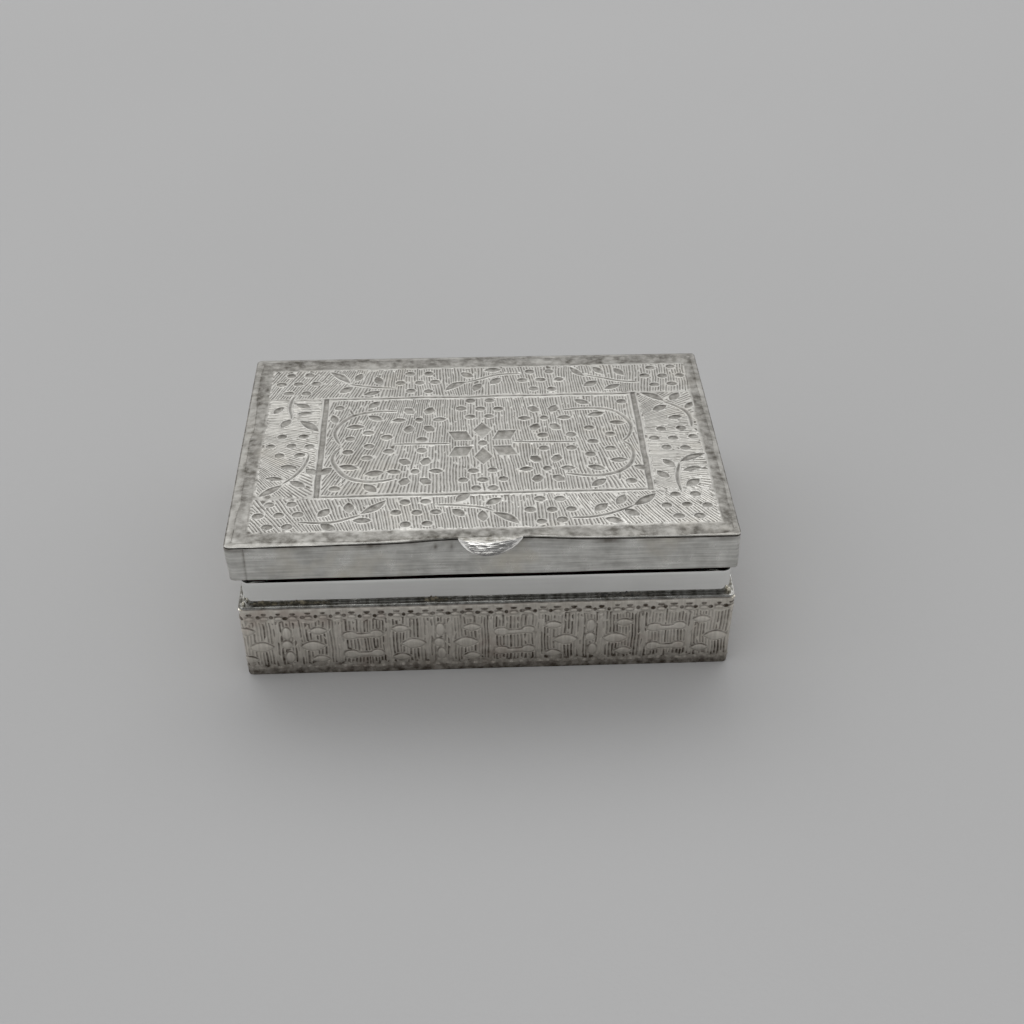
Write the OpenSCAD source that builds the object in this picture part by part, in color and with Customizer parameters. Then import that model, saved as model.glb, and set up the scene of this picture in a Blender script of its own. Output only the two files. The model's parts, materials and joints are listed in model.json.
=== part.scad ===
// Small hinged keepsake box of soldered silver-tone sheet: a tray with an embossed casing,
// a polished collar that stands above a narrow ledge, and a chased lid on a five-knuckle hinge.
// Millimetres. Origin: centre of the underside. Front faces -Y, width along X, +Z up.

/* [Box] */
// Outer width of the casing and the lid
box_w = 76; // [68:0.5:100]
// Outer depth of the casing and the lid
box_d = 53.5; // [48:0.5:80]
// Height of the casing with its ledge
casing_h = 14.9; // [12:0.1:30]
// Outside corner radius of the bent strips
bend_r = 0.8; // [0.7:0.1:1.5]
// Thickness of the casing sheet
casing_t = 0.4; // [0.3:0.05:0.45]
// Thickness of the bottom plate
bottom_t = 0.5; // [0.4:0.1:1.2]
// Thickness of the ledge strip
ledge_t = 0.4; // [0.3:0.1:0.8]
// Step from the casing's edge in to the ledge strip's edge
ledge_step = 0.1; // [0.05:0.05:0.2]

/* [Collar] */
// Distance from the casing's face in to the collar's face
collar_inset = 0.85; // [0.8:0.05:1.5]
// Height of the collar above the ledge
collar_h = 4.5; // [3:0.1:4.8]
// Thickness of the collar sheet
collar_t = 0.45; // [0.4:0.05:0.8]
// Outside corner radius of the collar
collar_r = 1.3; // [1:0.1:2]
// Thickness of the velvet pad on the floor
pad_t = 1.2; // [0.6:0.1:2.5]
// Gap between the velvet pad and the collar
pad_gap = 0.15; // [0.1:0.05:0.5]

/* [Lid] */
// Height of the lid from its lower edge to its top
lid_h = 6.4; // [6.2:0.1:9]
// Thickness of the chased top sheet
lid_top_t = 0.5; // [0.4:0.1:0.8]
// Thickness of the lid band
lid_band_t = 0.4; // [0.3:0.05:0.45]
// Thickness of the plate that backs the top sheet
backing_t = 0.3; // [0.3:0.1:0.5]
// Gap between the closed lid and the ledge
seat_gap = 0.05; // [0.03:0.01:0.1]
// Angle at which the lid stands ajar
ajar = 5.85; // [5.5:0.05:9]

/* [Thumb piece] */
// Width of the thumb piece along the lid's edge
thumb_w = 9.6; // [7:0.1:14]
// Reach of the thumb piece in front of the lid
thumb_reach = 2.4; // [1.5:0.1:3]
// Thickness of the thumb piece
thumb_t = 0.7; // [0.5:0.1:1.2]
// Downward slope of the thumb piece
thumb_slope = 28; // [15:1:40]
// Offset of the thumb piece to the right of the middle
thumb_x = 1.1; // [-3:0.1:3]

/* [Hinge] */
// Length of the row of knuckles
hinge_len = 42; // [30:1:56]
// Outside radius of the knuckles
knuckle_r = 1.3; // [1.2:0.05:1.6]
// Radius of the hinge pin
pin_r = 0.7; // [0.5:0.05:0.8]
// Running clearance around the pin
pin_gap = 0.05; // [0.03:0.01:0.08]
// Gap between the ends of neighbouring knuckles
knuckle_gap = 0.12; // [0.1:0.02:0.3]
// Gap between a knuckle and whatever turns past it
turn_gap = 0.1; // [0.08:0.01:0.2]
// Length of pin left standing at each end
pin_end = 0.35; // [0.2:0.05:0.8]
// Radius that the pin's ends are peened out to
pin_head_r = 0.95; // [0.9:0.05:1.1]
// Height from the hinge axis to the nearest face of each bearer
bearer_rise = 1.2; // [1.1:0.05:1.25]
// Reach of the bearers behind the hinge axis
bearer_reach = 1.0; // [0.8:0.05:1.1]
// Height of each bearer
bearer_h = 1.5; // [1:0.1:2]

/* [Chasing] */
// Plain margin of the lid at its two sides
margin_side = 2.3; // [1.5:0.1:4]
// Plain margin of the lid at its front
margin_front = 2.8; // [2:0.1:4]
// Plain margin of the lid at its back
margin_back = 3.5; // [2:0.1:4]
// Width of the border between the margin and the inner frame
border_w = 9.7; // [9:0.1:11]
// Depth of the chased motifs
chase_depth = 0.16; // [0.1:0.02:0.25]
// Width of the inner frame's engraved line
frame_line = 0.5; // [0.3:0.05:0.8]
// Radius of the punched dots
dot_r = 0.75; // [0.5:0.05:0.85]
// Spacing of the punched dots along a row
dot_pitch = 3.1; // [2.8:0.1:3.4]
// Spacing of the rows of punched dots
dot_row = 2.75; // [2.4:0.05:3]
// Reach of the star's upper and lower petals from its middle
star_reach = 6.1; // [5:0.1:7]
// Length of an ordinary leaf
leaf_l = 2.8; // [2:0.1:3.2]
// Width of an ordinary leaf
leaf_w = 1.3; // [0.8:0.1:1.6]
// Length of the pointed leaf that ends each spray
tip_leaf_l = 5.0; // [4:0.1:5.5]
// Width of the pointed leaf that ends each spray
tip_leaf_w = 1.7; // [1:0.1:2]
// Width of the spray's stem
stem_w = 0.35; // [0.25:0.05:0.5]

/* [Hidden] */
$fn = 48;
// Extra length that carries a cut past the face it opens
cut = 0.5;

half_w = box_w / 2;
half_d = box_d / 2;

// The hinge axis lies level with the ledge, just behind the back face.
axis_y = half_d + knuckle_r + turn_gap;
axis_z = casing_h;
knuckle_count = 5;
knuckle_len = (hinge_len - (knuckle_count - 1) * knuckle_gap) / knuckle_count;
knuckle_step = knuckle_len + knuckle_gap;
bore_r = pin_r + pin_gap;

// Heights of the closed lid's own faces.
lid_low = casing_h + seat_gap;
lid_high = casing_h + lid_h;
sheet_low = lid_high - lid_top_t;
backing_gap = 0.1;

// The chased field of the lid, and the frame inside its border.
field_x = half_w - margin_side;
field_y = half_d - (margin_front + margin_back) / 2;
field_mid = (margin_front - margin_back) / 2;
frame_x = field_x - border_w;
frame_y = field_y - border_w;

silver = [0.74, 0.73, 0.71];
polished = [0.82, 0.82, 0.82];
tarnished = [0.56, 0.54, 0.51];
velvet = [0.36, 0.07, 0.12];

// A plate with rounded corners, standing on the XY plane.
module rounded_plate(w, d, h, r) {
    union() {
        translate([-w / 2 + r, -d / 2, 0]) cube([w - 2 * r, d, h]);
        translate([-w / 2, -d / 2 + r, 0]) cube([w, d - 2 * r, h]);
        for (x = [-1, 1], y = [-1, 1])
            translate([x * (w / 2 - r), y * (d / 2 - r), 0]) cylinder(r = r, h = h);
    }
}

// A strip bent into a rectangular ring.
module ring_strip(w, d, h, t, r) {
    difference() {
        rounded_plate(w, d, h, r);
        translate([0, 0, -cut]) rounded_plate(w - 2 * t, d - 2 * t, h + 2 * cut, r - t);
    }
}

// Turns the closed lid about the hinge axis to where it stands ajar.
module lid_ajar() {
    translate([0, axis_y, axis_z]) rotate([-ajar, 0, 0]) translate([0, -axis_y, -axis_z]) children();
}

module bottom_plate() {
    color(silver)
        rounded_plate(box_w - 2 * casing_t, box_d - 2 * casing_t, bottom_t, bend_r - casing_t);
}

module casing_strip() {
    color(tarnished) ring_strip(box_w, box_d, casing_h - ledge_t, casing_t, bend_r);
}

module ledge_frame() {
    inner_w = box_w - 2 * collar_inset;
    inner_d = box_d - 2 * collar_inset;
    color(silver) translate([0, 0, casing_h - ledge_t]) difference() {
        rounded_plate(box_w - 2 * ledge_step, box_d - 2 * ledge_step, ledge_t, bend_r - ledge_step);
        translate([0, 0, -cut]) rounded_plate(inner_w, inner_d, ledge_t + 2 * cut, collar_r);
    }
}

module collar() {
    color(polished) translate([0, 0, bottom_t])
        ring_strip(box_w - 2 * collar_inset, box_d - 2 * collar_inset,
                   casing_h + collar_h - bottom_t, collar_t, collar_r);
}

module floor_pad() {
    inset = collar_inset + collar_t + pad_gap;
    color(velvet) translate([0, 0, bottom_t])
        rounded_plate(box_w - 2 * inset, box_d - 2 * inset, pad_t, collar_r);
}

// A bead of solder on the ledge at each corner, in the room that the collar's bend leaves.
module corner_solder() {
    bead_r = 0.3;
    place = collar_inset + (1 - sqrt(0.5)) * collar_r - sqrt(0.5) * bead_r;
    color(polished) for (x = [-1, 1], y = [-1, 1])
        translate([x * (half_w - place), y * (half_d - place), casing_h])
            intersection() {
                sphere(r = bead_r);
                translate([-bead_r, -bead_r, 0]) cube(2 * bead_r);
            }
}

// Places its children at the left end of knuckle number n, counted from the left.
module at_knuckle(n) {
    translate([-hinge_len / 2 + n * knuckle_step, axis_y, axis_z]) rotate([0, 90, 0]) children();
}

module knuckle(n) {
    color(silver) at_knuckle(n) difference() {
        cylinder(r = knuckle_r, h = knuckle_len);
        translate([0, 0, -cut]) cylinder(r = bore_r, h = knuckle_len + 2 * cut);
    }
}

// Square wire soldered along one side of the hinge. The knuckles in "seats" lie in its grooves,
// and the others turn clear of it. Its outer corner is the lid's stop.
module bearer(low, seats, passes) {
    color(silver) difference() {
        translate([-hinge_len / 2, half_d, low]) cube([hinge_len, axis_y + bearer_reach - half_d, bearer_h]);
        for (n = seats)
            at_knuckle(n) cylinder(r = knuckle_r, h = knuckle_len);
        for (n = passes)
            at_knuckle(n) translate([0, 0, -knuckle_gap])
                cylinder(r = knuckle_r + turn_gap, h = knuckle_len + 2 * knuckle_gap);
    }
}

module base_bearer() {
    bearer(axis_z - bearer_rise - bearer_h, [0, 2, 4], [1, 3]);
}

module base_knuckle_left() {
    knuckle(0);
}

module base_knuckle_middle() {
    knuckle(2);
}

module base_knuckle_right() {
    knuckle(4);
}

module hinge_pin() {
    color(polished) translate([-hinge_len / 2 - pin_end, axis_y, axis_z]) rotate([0, 90, 0]) union() {
        cylinder(r = pin_r, h = hinge_len + 2 * pin_end);
        cylinder(r = pin_head_r, h = pin_end);
        translate([0, 0, hinge_len + pin_end]) cylinder(r = pin_head_r, h = pin_end);
    }
}

// A dot punched at the origin of the chased surface.
module dot(r = dot_r) {
    translate([0, 0, -chase_depth]) cylinder(r = r, h = chase_depth + cut, $fn = 24);
}

// Seven dots in rows of two, three and two.
module dot_cluster(pitch = dot_pitch, row = dot_row) {
    for (x = [-0.5, 0.5], y = [-1, 1])
        translate([x * pitch, y * row, 0]) dot();
    for (x = [-1, 0, 1])
        translate([x * pitch, 0, 0]) dot();
}

// A pointed leaf between two arcs, from the origin along X.
module leaf(l, w) {
    r = (l * l / w + w) / 4;
    translate([l / 2, 0, -chase_depth]) intersection() {
        translate([0, r - w / 2, 0]) cylinder(r = r, h = chase_depth + cut, $fn = 96);
        translate([0, w / 2 - r, 0]) cylinder(r = r, h = chase_depth + cut, $fn = 96);
    }
}

// A four-sided petal through the given corners.
module petal(corners) {
    translate([0, 0, -chase_depth]) linear_extrude(height = chase_depth + cut) polygon(corners);
}

// The six-petal star: two diamonds on the axis and four leaning petals beside them.
module star() {
    near = 1.2;
    slant = star_reach * 0.45;
    wide = star_reach * 0.25;
    dot();
    for (y = [-1, 1]) {
        petal([[0, y * near], [wide, y * star_reach * 0.6], [0, y * star_reach], [-wide, y * star_reach * 0.6]]);
        for (x = [-1, 1])
            petal([[x * (wide + 0.1), y * 0.9], [x * (slant + 2), y * 0.9],
                   [x * (slant + 2.9), y * 3.4], [x * (wide + 1.2), y * 3.4]]);
    }
}

// A small flower with a punched eye and six petals.
module flower() {
    petal_l = 2.2;
    petal_w = 1.2;
    dot(0.6);
    for (a = [0, 180, 58, 122, 238, 302])
        rotate(a) translate([1.5, 0, 0]) leaf(petal_l, petal_w);
}

// A spray of leaves along a bowed stem, its middle at the origin and its tip towards +X.
module spray() {
    bow = 20;
    translate([2.2, -1.2, 0]) rotate(24) leaf(tip_leaf_l, tip_leaf_w);
    translate([-3.4, 1.5, 0]) rotate(62) translate([-leaf_l / 2, 0, 0]) leaf(leaf_l, leaf_w);
    translate([0.6, 1.6, 0]) rotate(75) translate([-leaf_l / 2, 0, 0]) leaf(leaf_l, leaf_w);
    translate([-3.2, -2.4, 0]) rotate(-25) translate([-leaf_l / 2, 0, 0]) leaf(leaf_l, leaf_w);
    translate([0.8, -2.5, 0]) rotate(5) translate([-leaf_l / 2, 0, 0]) leaf(leaf_l, leaf_w);
    intersection() {
        translate([-2.6, bow - 1.15, -chase_depth]) difference() {
            cylinder(r = bow + stem_w / 2, h = chase_depth + cut, $fn = 128);
            translate([0, 0, -cut]) cylinder(r = bow - stem_w / 2, h = 3 * cut, $fn = 128);
        }
        translate([-7, -3, -cut]) cube([9, 3, 3 * cut]);
    }
}

// The engraved frame that parts the border from the middle panel.
module frame_groove() {
    difference() {
        translate([-frame_x, -frame_y, -chase_depth]) cube([2 * frame_x, 2 * frame_y, chase_depth + cut]);
        translate([-frame_x + frame_line, -frame_y + frame_line, -cut])
            cube([2 * (frame_x - frame_line), 2 * (frame_y - frame_line), 3 * cut]);
    }
}

// Everything chased into the lid, laid out from the field's own half sizes.
module chasing() {
    corner_x = field_x - 4.7;
    corner_y = field_y - 4.6;
    row_x = 10.4;
    flower_x = 10.2;
    flower_y = frame_y - 6.6;
    cluster_y = frame_y - 3.9;
    for (x = [-1, 0, 1], y = [-1, 0, 1])
        if (x != 0)
            translate([x * corner_x, y * corner_y, 0]) dot_cluster();
    for (x = [-1, 1], y = [-1, 1])
        translate([x * row_x, y * corner_y, 0]) dot_cluster();
    for (y = [-1, 1])
        translate([0, y * cluster_y, 0]) dot_cluster(dot_pitch, dot_row - 0.3);
    star();
    for (x = [-1, 1], y = [-1, 1]) {
        translate([x * flower_x, y * flower_y, 0]) flower();
        translate([x * (frame_x - 2.6), y * (frame_y - 2.5), 0]) dot();
        translate([x * 21.2, y * 1.9, 0]) dot();
        translate([x * 15.2, y * 1.9, 0]) dot();
        translate([x * 18.2, y * 3.7, 0]) dot();
        translate([x * 21, y * 6.2, 0]) translate([-leaf_l / 2, 0, 0]) leaf(leaf_l, leaf_w);
    }
    for (x = [-1, 1])
        translate([x * 18.2, 0, 0]) dot();
    frame_groove();
    for (y = [-1, 1])
        translate([0, y * (corner_y + 0.2), 0]) mirror([0, y < 0 ? 1 : 0, 0]) rotate(180) spray();
    for (x = [-1, 1], y = [-1, 1]) {
        translate([x * (row_x + corner_x) / 2, y * corner_y, 0])
            mirror([x < 0 ? 1 : 0, 0, 0]) mirror([0, y > 0 ? 1 : 0, 0]) spray();
        translate([x * corner_x, y * corner_y / 2, 0])
            mirror([x < 0 ? 1 : 0, 0, 0]) mirror([0, y < 0 ? 1 : 0, 0]) rotate(-90) scale(0.8) spray();
    }
}

module lid_top() {
    color(silver) lid_ajar() difference() {
        translate([0, 0, sheet_low]) rounded_plate(box_w, box_d, lid_top_t, bend_r);
        translate([0, field_mid, lid_high]) chasing();
    }
}

module lid_band() {
    color(silver) lid_ajar() translate([0, 0, lid_low])
        ring_strip(box_w, box_d, sheet_low - lid_low, lid_band_t, bend_r);
}

module lid_backing() {
    inset = lid_band_t + backing_gap;
    color(polished) lid_ajar() translate([0, 0, sheet_low - backing_t])
        rounded_plate(box_w - 2 * inset, box_d - 2 * inset, backing_t, bend_r);
}

// A half-moon lip on the front edge of the lid, sloping down and forward.
module thumb_piece() {
    reach = thumb_reach / cos(thumb_slope);
    disc_r = (thumb_w * thumb_w / 4 + reach * reach) / (2 * reach);
    color(polished) lid_ajar() intersection() {
        translate([thumb_x, -half_d, lid_high - 0.15]) rotate([thumb_slope, 0, 0])
            translate([0, disc_r - reach, -thumb_t]) cylinder(r = disc_r, h = thumb_t, $fn = 96);
        translate([thumb_x - thumb_w, -half_d - 2 * thumb_reach, lid_low])
            cube([2 * thumb_w, 2 * thumb_reach, lid_h]);
    }
}

module lid_bearer() {
    lid_ajar() bearer(axis_z + bearer_rise, [1, 3], [0, 2, 4]);
}

module lid_knuckle_left() {
    lid_ajar() knuckle(1);
}

module lid_knuckle_right() {
    lid_ajar() knuckle(3);
}

bottom_plate();
casing_strip();
ledge_frame();
collar();
floor_pad();
corner_solder();
base_bearer();
base_knuckle_left();
base_knuckle_middle();
base_knuckle_right();
hinge_pin();
lid_top();
lid_band();
lid_backing();
thumb_piece();
lid_bearer();
lid_knuckle_left();
lid_knuckle_right();
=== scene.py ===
"""Looks of a small hinged keepsake box of soldered silver-tone sheet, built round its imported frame.

Plans and heights are in millimetres, and a mesh is turned into the frame's metres when it is made.
The lid's pieces are laid out with the lid shut, then turned about the hinge to where it stands ajar.
"""

import json
import math

import bmesh
import bpy
import numpy as np
from mathutils.geometry import delaunay_2d_cdt
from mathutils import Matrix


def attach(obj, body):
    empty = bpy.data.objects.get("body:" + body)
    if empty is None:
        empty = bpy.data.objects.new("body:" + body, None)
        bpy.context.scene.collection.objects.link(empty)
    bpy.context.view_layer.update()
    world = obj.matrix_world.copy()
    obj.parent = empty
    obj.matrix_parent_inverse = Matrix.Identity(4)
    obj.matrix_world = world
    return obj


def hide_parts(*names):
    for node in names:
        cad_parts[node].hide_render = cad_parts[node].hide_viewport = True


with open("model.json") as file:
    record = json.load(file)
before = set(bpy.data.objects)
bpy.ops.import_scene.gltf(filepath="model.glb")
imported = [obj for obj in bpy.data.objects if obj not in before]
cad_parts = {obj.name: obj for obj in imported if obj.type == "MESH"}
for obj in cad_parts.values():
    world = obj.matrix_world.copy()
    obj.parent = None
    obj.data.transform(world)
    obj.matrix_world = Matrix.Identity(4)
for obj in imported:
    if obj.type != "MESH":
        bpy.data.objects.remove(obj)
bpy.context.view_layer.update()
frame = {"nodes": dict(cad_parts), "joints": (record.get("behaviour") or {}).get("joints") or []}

MM = 0.001

# Sizes, most of them from the frame

HINGE = frame["joints"][0]
AXIS_Y, AXIS_Z = HINGE["pos_m"][1] / MM, HINGE["pos_m"][2] / MM
AJAR = math.radians(-min(HINGE["range_deg"]))


def turned(points, angle):
    """The points turned about the hinge, where a positive angle opens the lid."""
    out = np.array(points, float).reshape(-1, 3)
    y, z = out[:, 1] - AXIS_Y, out[:, 2] - AXIS_Z
    c, s = math.cos(angle), math.sin(angle)
    out[:, 1], out[:, 2] = AXIS_Y + y * c + z * s, AXIS_Z + z * c - y * s
    return out


def node_box(node, shut=False):
    """Lowest and highest corner of a CAD node in mm, with the lid as it stands or turned shut."""
    co = np.array([v.co for v in frame["nodes"][node].data.vertices], float) / MM
    if shut:
        co = turned(co, -AJAR)
    return co.min(0), co.max(0)


CASING_LOW, CASING_HIGH = node_box("casing_strip")
LEDGE_LOW, LEDGE_HIGH = node_box("ledge_frame")
COLLAR_LOW, COLLAR_HIGH = node_box("collar")
PAD_LOW, PAD_HIGH = node_box("floor_pad")
FLOOR_LOW, FLOOR_HIGH = node_box("bottom_plate")
SHEET_LOW, SHEET_HIGH = node_box("lid_top", shut=True)
BAND_LOW, BAND_HIGH = node_box("lid_band", shut=True)
BACK_LOW, BACK_HIGH = node_box("lid_backing", shut=True)
TAB_LOW, TAB_HIGH = node_box("thumb_piece", shut=True)
BEARER_LOW, BEARER_HIGH = node_box("base_bearer")

HALF_W, HALF_D = CASING_HIGH[0], CASING_HIGH[1]
SHEET = 0.4
BEND_R = 0.8
COLLAR_R = 1.3
COLLAR_T = 0.45
COLLAR_INSET = HALF_W - COLLAR_HIGH[0]
LEDGE_STEP = HALF_W - LEDGE_HIGH[0]


# Shapes in plan


def ripple(points, seed, length, height, count=9):
    """Smooth unevenness: a sum of sines in random directions, seeded, for points of 2 or 3 columns."""
    rng = np.random.default_rng(seed)
    points = np.asarray(points, float)
    total = np.zeros(len(points))
    for _ in range(count):
        way = rng.normal(size=points.shape[1])
        way *= 2 * math.pi / (length * rng.uniform(0.6, 1.7) * np.linalg.norm(way))
        total += np.sin(points @ way + rng.uniform(0, 2 * math.pi))
    return total * height / math.sqrt(count)


def smooth(value, low, high):
    t = np.clip((np.asarray(value, float) - low) / (high - low), 0, 1)
    return t * t * (3 - 2 * t)


REACH, FAR = 0.6, 9.0


def distance_to(outline, points):
    """Distance to a closed outline, negative inside. Points beyond REACH of it get FAR."""
    low, high = outline.min(0) - REACH, outline.max(0) + REACH
    near = np.flatnonzero(((points > low) & (points < high)).all(1))
    result = np.full(len(points), FAR)
    if not len(near):
        return result
    p = points[near][:, None]
    a, b = outline, np.roll(outline, -1, 0)
    ab = b - a
    t = np.clip(((p - a) * ab).sum(2) / (ab * ab).sum(1), 0, 1)
    gap = p - a - t[..., None] * ab
    d = np.sqrt((gap * gap).sum(2)).min(1)
    slope = np.where(np.abs(ab[:, 1]) < 1e-12, 1e-12, ab[:, 1])
    crosses = (a[:, 1] > p[..., 1]) != (b[:, 1] > p[..., 1])
    right_of = p[..., 0] < a[:, 0] + (p[..., 1] - a[:, 1]) * ab[:, 0] / slope
    within = (crosses & right_of).sum(1) % 2 == 1
    result[near] = np.where(within, -d, d)
    return result


class Clearance:
    """Distance to the nearest of many closed outlines, negative inside, kept on a fine grid."""

    STEP = 0.06

    def __init__(self, outlines, low, high):
        self.low = np.asarray(low, float)
        shape = ((np.asarray(high) - self.low) / self.STEP).astype(int) + 2
        self.grid = np.full(shape, FAR)
        for outline in outlines:
            first = np.maximum(((outline.min(0) - REACH - self.low) / self.STEP).astype(int), 0)
            last = np.minimum(((outline.max(0) + REACH - self.low) / self.STEP).astype(int) + 2, shape)
            if (last <= first).any():
                continue
            i, j = np.meshgrid(np.arange(first[0], last[0]), np.arange(first[1], last[1]), indexing="ij")
            places = np.stack([i.ravel(), j.ravel()], 1) * self.STEP + self.low
            window = (slice(first[0], last[0]), slice(first[1], last[1]))
            self.grid[window] = np.minimum(self.grid[window], distance_to(outline, places).reshape(i.shape))

    def __call__(self, points):
        place = (np.asarray(points, float) - self.low) / self.STEP
        place = np.clip(place, 0, np.array(self.grid.shape) - 1.001)
        i, j = place.astype(int).T
        u, v = (place - np.stack([i, j], 1)).T
        near, far = (self.grid[i, k] * (1 - u) + self.grid[i + 1, k] * u for k in (j, j + 1))
        return near * (1 - v) + far * v


def inside(points, x0, x1, y0, y1):
    """Whether each point lies in a rectangle."""
    x, y = points[:, 0], points[:, 1]
    return (x > x0) & (x < x1) & (y > y0) & (y < y1)


def wound(outline):
    """The outline, turned round if it ran clockwise."""
    x, y = outline.T
    area = (x * np.roll(y, -1) - np.roll(x, -1) * y).sum()
    return outline[::-1] if area < 0 else outline


def nearest(points, ring):
    """For each place of a ring, which of the points lies there."""
    return np.array([np.argmin(((points - place) ** 2).sum(1)) for place in ring])


def spread(half_w, half_d, step):
    """Points of a grid over a rectangle about the origin."""
    x, y = np.meshgrid(np.arange(-half_w, half_w, step), np.arange(-half_d, half_d, step))
    return np.stack([x.ravel(), y.ravel()], 1)


def from_edge(points, half_w, half_d, radius):
    """How far points lie inside a rounded rectangle."""
    q = np.abs(points[:, :2]) - (half_w - radius, half_d - radius)
    return radius - np.linalg.norm(np.maximum(q, 0), axis=1) - np.minimum(q.max(1), 0)


def grown(outline, by):
    """A closed anticlockwise outline moved outward by a distance, with its sharp tips held back."""
    before, after = outline - np.roll(outline, 1, 0), np.roll(outline, -1, 0) - outline
    before /= np.linalg.norm(before, axis=1)[:, None] + 1e-9
    after /= np.linalg.norm(after, axis=1)[:, None] + 1e-9
    way = before + after
    normal = np.stack([way[:, 1], -way[:, 0]], 1)
    length = np.linalg.norm(normal, axis=1)[:, None] + 1e-9
    stretch = np.minimum(2 / length, 1.8)
    return outline + by * normal / length * stretch


def placed(outline, x, y, angle):
    c, s = math.cos(math.radians(angle)), math.sin(math.radians(angle))
    return outline @ np.array([[c, s], [-s, c]]) + (x, y)


def ellipse(rx, ry, count=16):
    a = np.arange(count) / count * 2 * math.pi
    return np.stack([rx * np.cos(a), ry * np.sin(a)], 1)


def leaf(length, width, bow=0.0, fullness=1.0, count=7):
    """A leaf with a point at each end, along X about its middle, bowed towards +Y."""
    t = np.linspace(-1, 1, count + 1)
    half = width / 2 * (1 - np.abs(t) ** (1.6 * fullness + 0.4))
    mid = bow * (1 - t * t)
    low = np.stack([t * length / 2, mid - half], 1)
    high = np.stack([t[-2:0:-1] * length / 2, (mid + half)[-2:0:-1]], 1)
    return np.concatenate([low, high])


def blunt(length, width):
    """A short petal, blunt at both ends."""
    x, y = length / 2, width / 2
    lower = [(-x, -0.3 * y), (-0.45 * x, -y), (0.5 * x, -y)]
    return np.array([*lower, (x, 0.3 * y), (0.45 * x, y), (-0.5 * x, y)])


def curve(points, step=0.6):
    """A smooth line through the given points, Catmull-Rom, sampled about every step."""
    p = np.array(points, float)
    p = np.concatenate([[2 * p[0] - p[1]], p, [2 * p[-1] - p[-2]]])
    out = []
    for a, b, c, d in zip(p[:-3], p[1:-2], p[2:-1], p[3:]):
        count = max(2, int(np.linalg.norm(c - b) / step))
        t = (np.arange(count) / count)[:, None]
        out.append(
            0.5 * (2 * b + (c - a) * t + (2 * a - 5 * b + 4 * c - d) * t**2 + (3 * b - a - 3 * c + d) * t**3)
        )
    return np.concatenate([*out, p[-2][None]])


def stroke(points, width, taper=0.35, step=0.6):
    """The outline of an engraved stroke along a curve, thinner towards its ends."""
    mid = curve(points, step)
    way = np.gradient(mid, axis=0)
    way /= np.linalg.norm(way, axis=1)[:, None]
    side = np.stack([-way[:, 1], way[:, 0]], 1)
    t = np.linspace(0, 1, len(mid))[:, None]
    half = width / 2 * (taper + (1 - taper) * np.sin(math.pi * t) ** 0.6)
    return np.concatenate([mid - side * half, (mid + side * half)[::-1]])


def rounded(half_w, half_d, radius, step=1.2, arc=7, extra=()):
    """A rounded rectangle, anticlockwise from its front's left end, with extra places along the front."""
    across = max(2, int(round(2 * HALF_W / step)))
    along = max(2, int(round(2 * HALF_D / step)))
    corners = [(1, -1, -90), (1, 1, 0), (-1, 1, 90), (-1, -1, 180)]
    ends = [(-half_w + radius, -half_d)]
    out = []
    for leg, ((sx, sy, start), count) in enumerate(zip(corners, [across, along, across, along])):
        cx, cy = sx * (half_w - radius), sy * (half_d - radius)
        a = np.radians(start + np.arange(arc + 1) * 90 / arc)
        bend = np.stack([cx + radius * np.cos(a), cy + radius * np.sin(a)], 1)
        t = np.arange(count) / count
        if leg == 0 and len(extra):
            t = np.union1d(t, 0.5 + np.asarray(extra) / (2 * HALF_W - 2 * BEND_R))
        t = t[:, None]
        out += [ends[-1] * (1 - t) + bend[0] * t, bend[:-1]]
        ends.append(bend[-1])
    return np.concatenate(out)


def outward(points, amount):
    """A move of each point away from the box's nearest side, by that amount."""
    gap_x = HALF_W - np.abs(points[:, 0])
    gap_y = HALF_D - np.abs(points[:, 1])
    x = np.where(gap_x <= gap_y + 0.5, np.sign(points[:, 0]), 0) * amount
    y = np.where(gap_y <= gap_x + 0.5, np.sign(points[:, 1]), 0) * amount
    return np.column_stack([x, y, np.zeros(len(points))])


# Making meshes


# How the real lid strays from square: wider at its left, at the foot and how much more at the top,
# short at its right, and worn back along its front about the thumb piece
LEFT_WIDER = (0.5, 0.33)
RIGHT_SHORT = 0.15
WORN_BACK, WORN_UP, WORN_AT = 0.8, 0.15, 0.8


def settled(points):
    """The shut lid's points moved to where its sheet really lies."""
    out = np.array(points, float)
    x, y, z = out.T
    high = smooth(z, BAND_LOW[2], BAND_HIGH[2])
    x -= np.clip((-35.8 - x) / 2.2, 0, 1.2) * (LEFT_WIDER[0] + LEFT_WIDER[1] * high)
    x -= np.clip((x - 35.6) / 2.4, 0, 1.2) * RIGHT_SHORT
    along = x - WORN_AT
    worn = 0.62 * np.exp(-((along / 11) ** 4)) + 0.38 * np.exp(-((along / 22) ** 2))
    worn *= smooth(-y, HALF_D - 2.6, HALF_D - 0.6)
    worn *= smooth(z, BAND_HIGH[2] - 2.4, BAND_HIGH[2] - 0.1)
    out[:, 1:] += worn[:, None] * (WORN_BACK, WORN_UP)
    return out


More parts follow.
